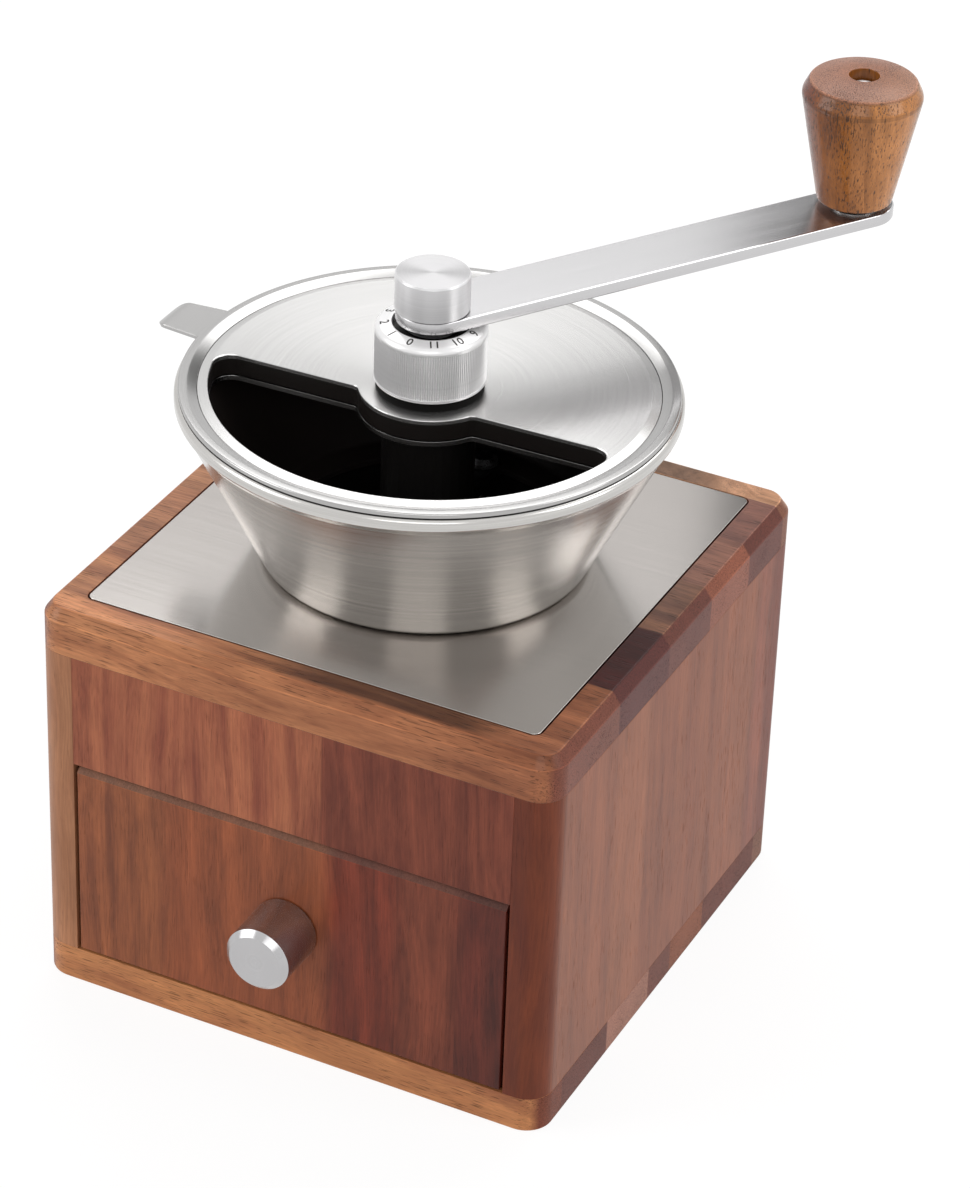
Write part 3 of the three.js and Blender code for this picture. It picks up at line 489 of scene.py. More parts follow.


# The top board's front border has a dark heartwood streak and, beside it, a painted sheen
top_wood = acacia(
    "oiled_acacia_top", "X", "Y",
    [(-80, "d08d5f", "94593a"), (-38, "cc8c64", "8c563a"), (-4, "d4966c", "966142"),
     (30, "c8865e", "88533a"), (60, "ecb189", "b07e5c", "87553f")],
    gloss=0.3, seed=1.0, end_grain="7c4736", streak_and_sheen=(-6.0, 50.0, -67.0),
    split=(20.0, [
        (-80, "ab6b48", "734029", "7e4635"), (-35.5, "481613", "2c0d0a", "5c2a24"),
        (-7, "96684f", "5f3c30", "6e3b2f"), (17, "ac7660", "734a3e", "93553f"),
        (40, "9f6a59", "6a443d", "6a3529"), (61, "ecb189", "b07e5c", "87553f"),
    ]),
)
recess = plate_outline(61.1, 2.4)
throat = round_like(recess, throat_radius)
form = skin_over([at_height(outline, z) for outline, z in (
    (case_outline(0), board_top_z + 0.08),
    (case_outline(0), case_top - chamfer_drop - 0.4),
    (case_outline(0.07), case_top - chamfer_drop - 0.1),
    (case_outline(0.24), case_top - chamfer_drop + 0.2),
    (case_outline(chamfer - 0.2), case_top - 0.32),
    (case_outline(chamfer + 0.08), case_top - 0.08),
    (case_outline(chamfer + 0.42), case_top),
    (plate_outline(61.25, 2.5), case_top),
    (recess, case_top - 0.15),
    (recess, case_top - plate_depth),
    (throat, case_top - plate_depth),
    (throat, board_top_z),
    (case_outline(0.08), board_top_z),
)], ends="joined")
top_board = piece("mill_top_board", form, 50)
shade_flats(top_board)
fit(top_board, top_wood, "case", "brown_wood", "top_board")

bottom_wood = acacia(
    "oiled_acacia_bottom", "X", "Y",
    [(-80, "d8945f", "9e6240"), (-30, "b87650", "7d4930"), (5, "c28258", "875537"),
     (40, "b4714b", "774630")],
    gloss=0.36, seed=2.0, end_grain="7d4b3c", figure=0.8,
    split=(10.0, [
        (-80, "d8945f", "9e6240", "7b402c"), (-58, "b88352", "845434", "6c3a2e"),
        (-32, "a8775c", "7b5340", "aa7663"), (-8, "7a5848", "533a34", "784335"),
        (5, "96654f", "6a4436", "8f5236"), (25, "6d4a42", "4a332f", "6d382a"),
        (58, "8c6450", "5f4238", "865844"),
    ]),
)
form = skin_over([at_height(case_outline(inset), z) for inset, z in (
    (0.5, 0), (0.15, 0.15), (0, 0.5), (0, board_bottom_z - 0.08), (0.08, board_bottom_z),
)])
bottom_board = piece("mill_bottom_board", form, 50)
shade_flats(bottom_board)
fit(bottom_board, bottom_wood, "case", "brown_wood", "bottom_board")

right_wood = acacia(
    "oiled_acacia_right", "Z", "Y",
    [(-80, "7e3c20", "5c2616"), (-64, "9e5e40", "7e4832"), (-34, "a66444", "854e34"),
     (-16, "9a5a3b", "7b432d"), (29, "a66242", "804830"), (49, "9a563e", "74402f"),
     (58, "82412d", "6a3526")],
    gloss=0.4, seed=3.0, figure=0.7, pores=0.35, soft=1.6,
)
left_wood = acacia(
    "oiled_acacia_left", "Z", "Y",
    [(-80, "b67f5b", "8c5a3e"), (-58, "a06a4c", "7a4b34"), (-12, "93593f", "6c3d29"),
     (30, "a87052", "805039")],
    gloss=0.4, seed=4.0, figure=0.8, pores=0.4, soft=1.0,
)
front_wood = acacia(
    "oiled_acacia_front", "Z", "X",
    [(-80, "ae6848", "824330"), (9.3, "864531", "5d291d")],
    gloss=0.4, seed=5.0, end_grain="7d665c", figure=1.1, pores=0.45,
)
back_wood = acacia(
    "oiled_acacia_back", "Z", "X",
    [(-80, "935a42", "6a3d2a"), (-40, "a86c4e", "804d37"), (-5, "965f45", "6c4029"),
     (32, "a56e54", "7a4b39")],
    gloss=0.4, seed=6.0, figure=0.8, pores=0.4, soft=1.0,
)
for side, wood, node in ((1, right_wood, "side_panel_right"), (-1, left_wood, "side_panel_left")):
    plan = rounded([
        (side * inner_half, -case_half), (side * case_half, -case_half, corner_radius),
        (side * case_half, case_half, corner_radius), (side * inner_half, case_half),
    ], 10)
    form = skin_over([at_height(plan, z) for z in (board_bottom_z, board_top_z)])
    panel = piece("mill_" + node, form, 0)
    ease(panel, panel_ease, 2)
    fit(panel, wood, "case", "red_wood", node)

for front_y, back_y, low_z, wood, node in (
    (-case_half, -header_inner, header_low, front_wood, "header_panel"),
    (back_inner, case_half, board_bottom_z, back_wood, "back_panel"),
):
    form = block((-inner_half, front_y, low_z), (inner_half, back_y, board_top_z))
    panel = piece("mill_" + node, form, 0)
    ease(panel, panel_ease, 2)
    fit(panel, wood, "case", "red_wood", node)


# Cover plate: a square of stainless sheet let into the top board, brushed left to right, with a
# thin dark joint round it.
SCRATCH_DEPTH = 0.00004


def steel_skin(tree, height, way, colour, rough, relief, anisotropy, metal):
    """Ends a steel's tree: shallow scratches, and reflections stretched across the way they run."""
    bump = add(tree, "Bump", {"Strength": relief, "Distance": SCRATCH_DEPTH, "Height": height})
    spaces = {"vector_type": "VECTOR", "convert_from": "OBJECT", "convert_to": "WORLD"}
    tangent = add(tree, "VectorTransform", {0: way}, **spaces)
    skin = add(tree, "BsdfPrincipled", {
        "Base Color": colour, "Metallic": metal, "Roughness": rough, "Anisotropic": anisotropy,
        "Anisotropic Rotation": 0.25, "Tangent": tangent, "Normal": bump,
    })
    add(tree, "OutputMaterial", {"Surface": skin})


def brushed_steel(name, angle, shade, roughness, streak):
    """Stainless sheet brushed in one direction: hairlines 70 mm long that stretch every reflection.
    They are drawn a third of a millimetre wide so that they show."""
    material, tree = new_material(name)
    place = add(tree, "TexCoord")
    along = add(tree, "Mapping", {0: place.outputs["Object"], 2: (0, 0, -angle)})
    hair = add(tree, "VectorMath", {0: along, 1: (14.0, 3200.0, 3200.0)}, operation="MULTIPLY")
    hair = add(tree, "TexNoise", {"Vector": hair, "Scale": 1.0, "Detail": 3.0, "Roughness": 0.65})
    usual = {0: hair, 1: 0.25, 2: 0.75}
    tone = add(tree, "MapRange", {**usual, 3: 1 - 0.05 * streak, 4: 1 + 0.04 * streak})
    colour = add(tree, "VectorMath", {0: linear(shade)[:3], 3: tone}, operation="SCALE")
    rough = add(tree, "MapRange", {**usual, 3: roughness - 0.02, 4: roughness + 0.03})
    way = (math.cos(angle), math.sin(angle), 0)
    steel_skin(tree, hair, way, colour, rough, 0.05 * streak, 0.55, 1.0)
    return material


plate_steel = brushed_steel("satin_steel_plate", 0.0, "b6b1ad", 0.15, 0.4)
edge = plate_outline(60.7, 2.0)
edge_in = plate_outline(60.55, 1.85)
hole = round_like(edge_in, throat_radius)
form = skin_over([at_height(outline, case_top - drop) for outline, drop in (
    (edge, plate_depth), (edge, 0.15), (plate_outline(60.65, 1.95), 0.04), (edge_in, 0),
    (hole, 0), (hole, plate_depth),
)], ends="joined")
plate = piece("mill_cover_plate", form, 50)
shade_flats(plate)
fit(plate, plate_steel, "case", "satin_steel", "top_plate")


# Hopper: a cone spun from stainless sheet over a form, with a rounded foot and a thickened lip,
# then brushed round while it turned. A black plastic bowl lines it.
ROUND_DRIFT = 0.014


def turned_steel(name, shade, roughness, pitch, relief, anisotropy, centre=(0, 0, 0),
                 tilt=(0, 0, 0), streak=1.0, metal=1.0, face=1.0):
    """Steel turned or brushed in circles: fine rings round its axis that pull each light into a
    sweep across them. The rings are drawn about a third of a millimetre apart so that they show.
    Streak says how strongly they differ, metal below 1 greys the mirror of a matt finish, and
    face below 1 darkens the faces that look up with painted shade."""
    material, tree = new_material(name)
    place = add(tree, "TexCoord")
    mm = add(tree, "VectorMath", {0: place.outputs["Object"], 3: 1000.0}, operation="SCALE")
    moved = add(tree, "Mapping", {0: mm, 1: centre})
    spun = add(tree, "Mapping", {0: moved, 2: tilt})
    parts = add(tree, "SeparateXYZ", {0: spun}).outputs
    flat = add(tree, "CombineXYZ", {0: parts[0], 1: parts[1]})
    radius = add(tree, "VectorMath", {0: flat}, operation="LENGTH").outputs["Value"]
    across = add(tree, "CombineXYZ", {0: radius, 1: parts[2]})
    across = add(tree, "VectorMath", {0: across, 3: 1.0 / pitch}, operation="SCALE")

    # Each ring changes a little on its way round
    drift, depth = [
        add(tree, "Math", {0: parts[i], 1: ROUND_DRIFT}, operation="MULTIPLY")
        for i in (0, 1)
    ]
    spread = add(tree, "CombineXYZ", {2: drift})
    where = add(tree, "VectorMath", {0: across, 1: spread}, operation="ADD")
    line = add(tree, "TexNoise", {
        "Vector": where, "W": depth, "Scale": 1.0, "Detail": 3.0, "Roughness": 0.6,
    }, noise_dimensions="4D")
    usual = {0: line, 1: 0.25, 2: 0.75}
    tone = add(tree, "MapRange", {**usual, 3: 1 - 0.045 * streak, 4: 1 + 0.04 * streak})
    # Painted shade: faces that look up are darkened by the face factor
    facing = add(tree, "SeparateXYZ", {0: place.outputs["Normal"]}).outputs
    upper = add(tree, "MapRange", {0: facing[2], 1: 0.9, 2: 0.99, 3: 1.0, 4: face})
    tone = add(tree, "Math", {0: tone, 1: upper}, operation="MULTIPLY")
    colour = add(tree, "VectorMath", {0: linear(shade)[:3], 3: tone}, operation="SCALE")
    either_way = 0.02 * streak
    rough = add(tree, "MapRange", {**usual, 3: roughness - either_way, 4: roughness + either_way})
    way = add(tree, "VectorMath", {0: (0.0, 0.0, 1.0), 1: flat}, operation="CROSS_PRODUCT")
    way = add(tree, "Mapping", {0: way, 2: [-t for t in tilt]}, vector_type="VECTOR")
    steel_skin(tree, line, way, colour, rough, relief, anisotropy, metal)
    return material


def turned(profile, sides):
    """Solid turned about Z from (radius, height) corners, which may name a rounding. It closes at
    the axis where it starts there, and otherwise on itself."""
    form = bmesh.new()
    levels = []
    on_axis = profile[0][0] == 0
    for radius, z in rounded(profile, closed=not on_axis):
        if radius < 1e-6:
            levels.append([form.verts.new((0, 0, z))])
            continue
        angles = [math.tau * k / sides for k in range(sides)]
        levels.append([form.verts.new((radius * math.cos(a), radius * math.sin(a), z)) for a in angles])
    pairs = list(zip(levels, levels[1:]))
    if not on_axis:
        pairs.append((levels[-1], levels[0]))
    for lower, upper in pairs:
        for k in range(sides):
            n = (k + 1) % sides
            ring = [(lower, k), (lower, n), (upper, n), (upper, k)]
            corners = list(dict.fromkeys(level[i % len(level)] for level, i in ring))
            if len(corners) > 2:
                form.faces.new(corners)
    return form


spun_steel = turned_steel("spun_steel_hopper", "c8c6c3", 0.22, 0.5, 0.1, 0.5, streak=3.0)
hopper = piece("mill_hopper", turned([
    (throat_radius, case_top), (40.5, case_top, 3.2), (60.4, 149.8, 3.0), (61.7, 151.4, 1.2),
    (61.7, 154.2, 1.1), (60.5, 154.2, 0.3), (60.4, 151.6, 1.2), (59.2, 150.1, 2.0),
    (39.78, 110.4, 2.0), (throat_radius, 110.4),
], 256), 40)
fit(hopper, spun_steel, "case", "satin_steel", "hopper")


def black_plastic(name, shade, roughness, sheen_level=0.5):
    """Black ABS, injection moulded: half gloss, with the mould's faint grain of about 0.4 mm and
    a smear of wear over 15 mm or so."""
    material, tree = new_material(name)
    place = add(tree, "TexCoord")
    grain, smear = [
        add(tree, "TexNoise", {"Vector": place.outputs["Object"], "Scale": scale, "Detail": 2.0})
        for scale in (2500.0, 60.0)
    ]
    rough = add(tree, "MapRange", {0: smear, 3: roughness - 0.06, 4: roughness + 0.06})
    tone = add(tree, "MapRange", {0: smear, 3: 0.85, 4: 1.15})
    colour = add(tree, "VectorMath", {0: linear(shade)[:3], 3: tone}, operation="SCALE")
    bump = add(tree, "Bump", {"Strength": 0.04, "Distance": 0.00005, "Height": grain})
    skin = add(tree, "BsdfPrincipled", {
        "Base Color": colour, "Roughness": rough, "IOR": 1.53, "Specular IOR Level": sheen_level,
        "Normal": bump,
    })
    add(tree, "OutputMaterial", {"Surface": skin})
    return material


bowl_plastic = black_plastic("moulded_black_bowl", "211b19", 0.45)
liner = piece("mill_hopper_liner", turned([
    (35.0, 113.2), (39.28, 113.2, 1.0), (41.5, 114.7, 1.5), (56.94, 146.2, 0.3), (55.44, 146.2, 0.5),
    (40.75, 116.2, 2.0), (35.0, 114.7, 0.3),
], 192), 40)
fit(liner, bowl_plastic, "case", "black_plastic", "hopper_liner")


# Inside the mill: the plastic housing with its three spokes, the bronze bush, the two burrs, the
# bearing column and the screws. They keep their CAD shapes and get the finish of the real parts.
housing_plastic = black_plastic("moulded_black_housing", "100e0d", 0.36)
ground_steel = turned_steel("hardened_burr_steel", "8a8b8d", 0.38, 0.3, 0.15, 0.3)
bush_bronze = turned_steel("sintered_bronze", "b0803f", 0.42, 0.25, 0.1, 0.2)
screw_steel = turned_steel("plated_screw_steel", "c6c7c9", 0.28, 0.25, 0.08, 0.3)
for material, nodes in (
    (housing_plastic, ("burr_housing", "bearing_column")),
    (bush_bronze, ("lower_bush",)),
    (ground_steel, ("outer_burr", "inner_burr")),
    (screw_steel, ("shaft", "burr_nut", "pull_screw")),
    (screw_steel, ["housing_screw_" + number for number in "123"]),
):
    for node in nodes:
        dress(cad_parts[node].data, material)


# Lid: a steel disc turned in fine rings on a moulded black plastic body, both cut with one
# half-moon mouth, and a black washer under the dial. The lid stays still on the bearing column.
MOUTH_RADIUS = 53.5
MOUTH_EDGE = 8.6
MOUTH_CORNER = 4.6
HUB_RADIUS = 17.5
HUB_FILLET = 2.4
MOUTH_TURN = 2.0
LID_BORE = 9.3
BODY_LOW = 149.8
DISC_LOW = 154.2
DISC_TOP = 155.2


def arc(cx, cy, radius, first, last, steps):
    """Points along an arc, both ends included."""
    angles = [first + (last - first) * k / steps for k in range(steps + 1)]
    return [Vector((cx + radius * math.cos(a), cy + radius * math.sin(a))) for a in angles]


def mouth_outline(grow=0.0):
    """Half-moon: inside the outer arc, in front of the straight edge and clear of the hub."""
    radius = MOUTH_RADIUS + grow
    edge = MOUTH_EDGE - grow
    hub = HUB_RADIUS - grow
    corner = edge + MOUTH_CORNER
    fillet = edge + HUB_FILLET
    corner_x = math.sqrt((radius - MOUTH_CORNER) ** 2 - corner ** 2)
    fillet_x = math.sqrt((hub + HUB_FILLET) ** 2 - fillet ** 2)
    corner_angle = math.atan2(-corner, corner_x)
    fillet_angle = math.atan2(-fillet, fillet_x)
    quarter = math.pi / 2
    line = arc(corner_x, -corner, MOUTH_CORNER, corner_angle, quarter, 16)
    line += arc(fillet_x, -fillet, HUB_FILLET, quarter, math.pi + fillet_angle, 8)
    line += arc(0, 0, hub, fillet_angle, -math.pi - fillet_angle, 28)[1:-1]
    line += arc(-fillet_x, -fillet, HUB_FILLET, -fillet_angle, quarter, 8)
    line += arc(-corner_x, -corner, MOUTH_CORNER, quarter, math.pi - corner_angle, 16)
    line += arc(0, 0, radius, math.pi - corner_angle, math.tau + corner_angle, 84)[1:-1]
    spin = Matrix.Rotation(math.radians(MOUTH_TURN), 2)
    return [spin @ point for point in line]


def circle(radius, sides=192):
    """Points round a whole circle, none of them twice."""
    return arc(0, 0, radius, 0, math.tau * (1 - 1 / sides), sides - 1)


def flat_sheet(form, outlines, z):
    """Level face at a height: the first outline is its edge and the others are holes."""
    edges = []
    for outline in outlines:
        corners = [form.verts.new((point[0], point[1], z)) for point in outline]
        edges += [form.edges.new(pair) for pair in zip(corners, corners[1:] + corners[:1])]
    bmesh.ops.triangle_fill(form, edges=edges, use_beauty=True)


def pierced_plate(form, rim, bore, z0, z1, eased):
    """Round plate with the half-moon mouth. The rim is (radius, height) points from its underside
    to its flat top, and the mouth's upper edge is eased."""
    steps = ((eased, 0), (eased * 0.3, eased * 0.3), (0, eased), (0, z1 - z0))
    skin_over([at_height(circle(radius), z) for radius, z in rim], "open", form)
    skin_over([at_height(mouth_outline(grow), z1 - drop) for grow, drop in steps], "open", form)
    skin_over([at_height(circle(bore, 96), z) for z in (z0, z1)], "open", form)
    flat_sheet(form, [circle(rim[0][0]), circle(bore, 96), mouth_outline()], z0)
    flat_sheet(form, [circle(rim[-1][0]), circle(bore, 96), mouth_outline(eased)], z1)
    return form


# The edges of these plates are eased by given rings, so every flat stays truly flat
disc_steel = turned_steel("turned_steel_disc", "c5c4c3", 0.26, 0.4, 0.014, 0.7, streak=0.8)
disc_rim = [(56.0, DISC_LOW), (56.1, 154.3), (56.1, 154.5), (56.0, 154.62), (53.8, DISC_TOP)]
form = pierced_plate(bmesh.new(), disc_rim, LID_BORE, DISC_LOW, DISC_TOP, 0.2)
disc = piece("mill_lid_disc", form, 12)
fit(disc, disc_steel, "case", "turned_steel", "lid_disc")

lid_plastic = black_plastic("moulded_black_lid", "171311", 0.34)
body_rim = [(55.4, BODY_LOW), (55.6, 150.0), (55.6, 154.0), (55.4, DISC_LOW)]
form = pierced_plate(bmesh.new(), body_rim, LID_BORE, BODY_LOW, DISC_LOW, 0.1)
lid_body = piece("mill_lid_body", form, 12)
fit(lid_body, lid_plastic, "case", "black_plastic", "lid_body")

washer = piece("mill_dial_washer", turned([
    (LID_BORE, DISC_TOP), (13.2, DISC_TOP), (13.2, 157.2, 0.3), (LID_BORE, 157.2),
], 128), 40)
washer_plastic = black_plastic("matt_black_washer", "0b0a09", 0.6, sheen_level=0.08)
fit(washer, washer_plastic, "case", "black_plastic", "dial_washer")


# Shutter: a steel dish under the lid whose rim shows as the outer ring. It turns half a turn by
# the curled tab to close the mouth.
TAB_REACH = 73.2
TAB_ROOT = 60.0
TAB_SINK = 0.02
TAB_ROOT_HALF = 7.5
TAB_TIP_HALF = 6.25
TAB_CORNER = 3.6
TAB_CURL_RADIUS = 5.0
TAB_CURL_ANGLE = math.radians(42)
TAB_EASE = 0.18
TAB_STEPS = 24
CORNER_STEPS = 12
DISH_FLOOR = 148.2
RIM_RADIUS = 60.8
RIM_TOP = 155.6
RIM_BOTTOM = 154.5

shutter_steel = turned_steel("turned_steel_shutter", "afaead", 0.2, 0.4, 0.02, 0.6)
form = turned([
    (57.3, DISH_FLOOR), (57.3, RIM_BOTTOM), (RIM_RADIUS, RIM_BOTTOM), (RIM_RADIUS, RIM_TOP, 0.4),
    (58.7, RIM_TOP, 1.6), (56.2, RIM_TOP - 0.95, 0.15), (56.2, 154.1, 0.1), (56.4, 154.0),
    (56.4, DISH_FLOOR),
], 256)
pierced_plate(form, [(57.0, DISH_FLOOR), (57.0, 149.4)], 10.7, DISH_FLOOR, 149.4, 0.05)
flat_end = TAB_REACH - TAB_CURL_RADIUS * math.sin(TAB_CURL_ANGLE)
straight = flat_end - TAB_ROOT + TAB_CURL_RADIUS * TAB_CURL_ANGLE - TAB_CORNER
stations = [(straight * k / TAB_STEPS, 0.0) for k in range(TAB_STEPS + 1)]
for k in range(1, CORNER_STEPS + 1):
    q = math.radians(90 * k / CORNER_STEPS)
    stations.append((straight + TAB_CORNER * math.sin(q), TAB_CORNER * (1 - math.cos(q))))
thick = RIM_TOP - RIM_BOTTOM
rows = []
for along, narrower in stations:
    angle = max(0.0, (TAB_ROOT + along - flat_end) / TAB_CURL_RADIUS)
    x = min(TAB_ROOT + along, flat_end) + TAB_CURL_RADIUS * math.sin(angle)
    drop = TAB_CURL_RADIUS * (1 - math.cos(angle))
    taper = max(0.0, x - RIM_RADIUS) / (TAB_REACH - RIM_RADIUS)
    half = TAB_ROOT_HALF + (TAB_TIP_HALF - TAB_ROOT_HALF) * taper - narrower
    half_in = half - TAB_EASE
    section = [
        (-half_in, 0), (half_in, 0), (half, TAB_EASE), (half, thick - TAB_EASE),
        (half_in, thick), (-half_in, thick), (-half, thick - TAB_EASE), (-half, TAB_EASE),
    ]
    top = Vector((-x, 0, RIM_TOP - TAB_SINK - drop))
    inward = Vector((math.sin(angle), 0, -math.cos(angle)))
    rows.append([top + inward * depth + Vector((0, y, 0)) for y, depth in section])
skin_over(rows, form=form)
shutter = piece("mill_shutter", form, 20)
fit(shutter, shutter_steel, "shutter", "satin_steel", "shutter")


# Dial: a turned steel ring with straight knurling to grip and a bevel that carries the scale from
# 0 to 11, blackened. The keyed sleeve that it lifts runs inside and keeps its CAD shape.
DIAL_RADIUS = 13.65
DIAL_TOP = 172.8
BEVEL_FOOT = 172.0
BEVEL_RADIUS = 10.1
DIGIT_HEIGHT = 2.4
DIGIT_WIDTH = 0.95
DIGIT_RADIUS = 11.45
DIGIT_PROUD = 0.01
FONT_DIGIT_HEIGHT = 0.73
dial_steel = turned_steel("turned_steel_dial", "f6f5f5", 0.3, 0.35, 0.02, 0.2, metal=0.42)
form = turned([
    (9.6, 157.5), (DIAL_RADIUS, 157.5, 0.25), (DIAL_RADIUS, 158.2), (13.45, 158.3), (13.45, 170.2),
    (DIAL_RADIUS, 170.3), (DIAL_RADIUS, BEVEL_FOOT, 1.6), (BEVEL_RADIUS, DIAL_TOP, 0.25),
    (9.6, DIAL_TOP, 0.1),
], 300)


def baked(made):
    """Plain mesh of an object as its modifiers or its text leave it."""
    return bpy.data.meshes.new_from_object(made.evaluated_get(bpy.context.evaluated_depsgraph_get()))


# The knurl: 150 four-sided bars that stand out of the side as ridges
ridges = bpy.data.node_groups.new("knurl", "GeometryNodeTree")
for label, kind, value in (
    ("Count", "Int", 150), ("Radius", "Float", 13.4), ("Low", "Float", 158.3),
    ("High", "Float", 170.25), ("Depth", "Float", 0.25),
):
    kind = "NodeSocket" + kind
    ridges.interface.new_socket(label, in_out="INPUT", socket_type=kind).default_value = value
ridges.interface.new_socket("Steel", in_out="INPUT", socket_type="NodeSocketMaterial")
ridges.interface.new_socket("Ridges", in_out="OUTPUT", socket_type="NodeSocketGeometry")
given = add(ridges, "NodeGroupInput").outputs
ring = add(ridges, "GeometryNodeMeshCircle", {"Vertices": given["Count"], "Radius": given["Radius"]})
tall, middle = [
    add(ridges, "Math", {0: given["High"], 1: given["Low"]}, operation=sum_or_rest)
    for sum_or_rest in ("SUBTRACT", "ADD")
]
middle = add(ridges, "Math", {0: middle, 1: 0.5}, operation="MULTIPLY")
bar = add(ridges, "GeometryNodeMeshCylinder", {"Vertices": 4, "Radius": given["Depth"], "Depth": tall})
spot = add(ridges, "GeometryNodeInputPosition")
face_out = add(ridges, "FunctionNodeAlignRotationToVector", {"Vector": spot}, axis="X", pivot_axis="Z")
copies = add(ridges, "GeometryNodeInstanceOnPoints", {
    "Points": ring, "Instance": bar.outputs["Mesh"], "Rotation": face_out,
})
up = add(ridges, "CombineXYZ", {2: middle})
lifted = add(ridges, "GeometryNodeTransform", {"Geometry": copies, "Translation": up})
solid = add(ridges, "GeometryNodeRealizeInstances", {0: lifted})
steel = add(ridges, "GeometryNodeSetMaterial", {"Geometry": solid, "Material": given["Steel"]})
add(ridges, "NodeGroupOutput", {0: steel})
blank = placed("knurl_blank", bpy.data.meshes.new("knurl_blank"))
cutter = blank.modifiers.new("knurl", "NODES")
cutter.node_group = ridges
socket = next(s for s in ridges.interface.items_tree if s.name == "Steel")
cutter[socket.identifier] = dial_steel
bpy.context.view_layer.update()
knurl_mesh = baked(blank)
blank.modifiers.remove(cutter)
bpy.data.objects.remove(blank)
form.from_mesh(knurl_mesh)
dial = piece("mill_grind_dial", form, 32)
fit(dial, dial_steel, "dial", "turned_steel", "grind_dial")

# The scale: plain numbers on the bevel, their ink a little worn
ink, tree = new_material("blackened_engraving")
place = add(tree, "TexCoord")
wear = add(tree, "TexNoise", {"Vector": place.outputs["Object"], "Scale": 1800.0})
tone = add(tree, "MapRange", {0: wear, 3: 0.7, 4: 1.5})
colour = add(tree, "VectorMath", {0: linear("2a2725")[:3], 3: tone}, operation="SCALE")
skin = add(tree, "BsdfPrincipled", {"Base Color": colour, "Roughness": 0.6})
add(tree, "OutputMaterial", {"Surface": skin})
slope = math.atan2(DIAL_TOP - BEVEL_FOOT, DIAL_RADIUS - BEVEL_RADIUS)
digit_z = DIAL_TOP + DIGIT_PROUD - (DIGIT_RADIUS - BEVEL_RADIUS) * math.tan(slope)
size = DIGIT_HEIGHT / FONT_DIGIT_HEIGHT
scale_form = bmesh.new()
for number in range(12):
    letters = bpy.data.curves.new("number", "FONT")
    letters.body = str(number)
    letters.align_x = "CENTER"
    letters.align_y = "CENTER"
    letters.extrude = 0.006
    letters.offset = 0.012
    letters.resolution_u = 3
    writer = placed("number", letters)
    bpy.context.view_layer.update()
    digits = baked(writer)
    bpy.data.objects.remove(writer)
    digits.transform(
        Matrix.Rotation(math.radians(-30 * number), 4, "Z")
        @ Matrix.Translation((0, -DIGIT_RADIUS, digit_z))
        @ Matrix.Rotation(slope, 4, "X") @ Matrix.Diagonal((size * DIGIT_WIDTH, size, size, 1))
    )
    scale_form.from_mesh(digits)
scale = piece("mill_dial_scale", scale_form, 32)
fit(scale, ink, "dial", "black_plastic", "grind_dial")

# The sleeve is near-black and shows as a dark crescent in the bore round the crank's end
sleeve_steel = turned_steel("near_black_steel_sleeve", "2a2928", 0.4, 0.3, 0.05, 0.4)
dress(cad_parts["lift_sleeve"].data, sleeve_steel)


# Crank: a flat bar of stainless steel with round ends, brushed along its length and clamped on
# the shaft's square by a turned cap. A steel bush and a screw with a matt head carry the knob.
CRANK_ANGLE = math.radians(56.7)
ARM_LENGTH = 121.3
ARM_HALF = 8.8
ARM_END_REACH = 1.6
crank_turn = Matrix.Rotation(CRANK_ANGLE, 4, "Z")
knob_place = crank_turn @ Matrix.Translation((ARM_LENGTH / 1000, 0, 0))
arm_steel = brushed_steel("satin_steel_arm", CRANK_ANGLE, "c8c7c8", 0.2, 0.3)
rings = []
for inset, z in (
    (0.35, 173.4), (0.1, 173.5), (0, 173.75), (0, 176.1), (0.05, 176.29), (0.17, 176.43), (0.4, 176.5),
):
    bar = arc(ARM_LENGTH + ARM_END_REACH, 0, ARM_HALF - inset, -math.pi / 2, math.pi / 2, 48)
    bar += arc(0, 0, ARM_HALF - inset, math.pi / 2, math.pi * 1.5, 48)
    rings.append(at_height(bar, z))
arm = piece("mill_crank_arm", skin_over(rings), 15)
arm.data.transform(crank_turn)
fit(arm, arm_steel, "crank", "satin_steel", "crank_arm")

# The cap's top is darkened by painted shade, below its sides
cap_steel = turned_steel("turned_steel_cap", "e2e1e2", 0.32, 0.3, 0.02, 0.82, metal=0.65, face=0.72)
cap = piece("mill_cap_nut", turned([
    (0, 176.8), (9.15, 176.8, 0.2), (9.15, 185.7, 0.12), (8.75, 186.1, 0.12), (0, 185.95),
], 192), 25)
fit(cap, cap_steel, "crank", "turned_steel", "cap_nut")

bush = piece("mill_knob_bush", turned([
    (2.3, 176.8), (6.2, 176.8, 0.1), (6.2, 177.8, 0.15), (2.3, 177.8),
], 96), 32)
bush.data.transform(knob_place)
from_knob = (-ARM_LENGTH * math.cos(CRANK_ANGLE), -ARM_LENGTH * math.sin(CRANK_ANGLE), 0)
bush_steel = turned_steel("turned_steel_bush", "c4c4c3", 0.25, 0.3, 0.05, 0.5, from_knob)
fit(bush, bush_steel, "crank", "turned_steel", "knob_bush")

knob_screw = piece("mill_knob_screw", turned([
    (0, 173.4), (2.0, 173.4), (2.0, 207.5), (3.3, 207.5), (3.3, 208.9, 0.8), (0.9, 209.7, 1.0),
    (0, 209.7),
], 64), 32)
knob_screw.data.transform(knob_place)
head_steel = turned_steel("matt_screw_steel", "e8e7e6", 0.5, 0.3, 0.02, 0.2, metal=0.5)
fit(knob_screw, head_steel, "crank", "turned_steel", "knob_screw")


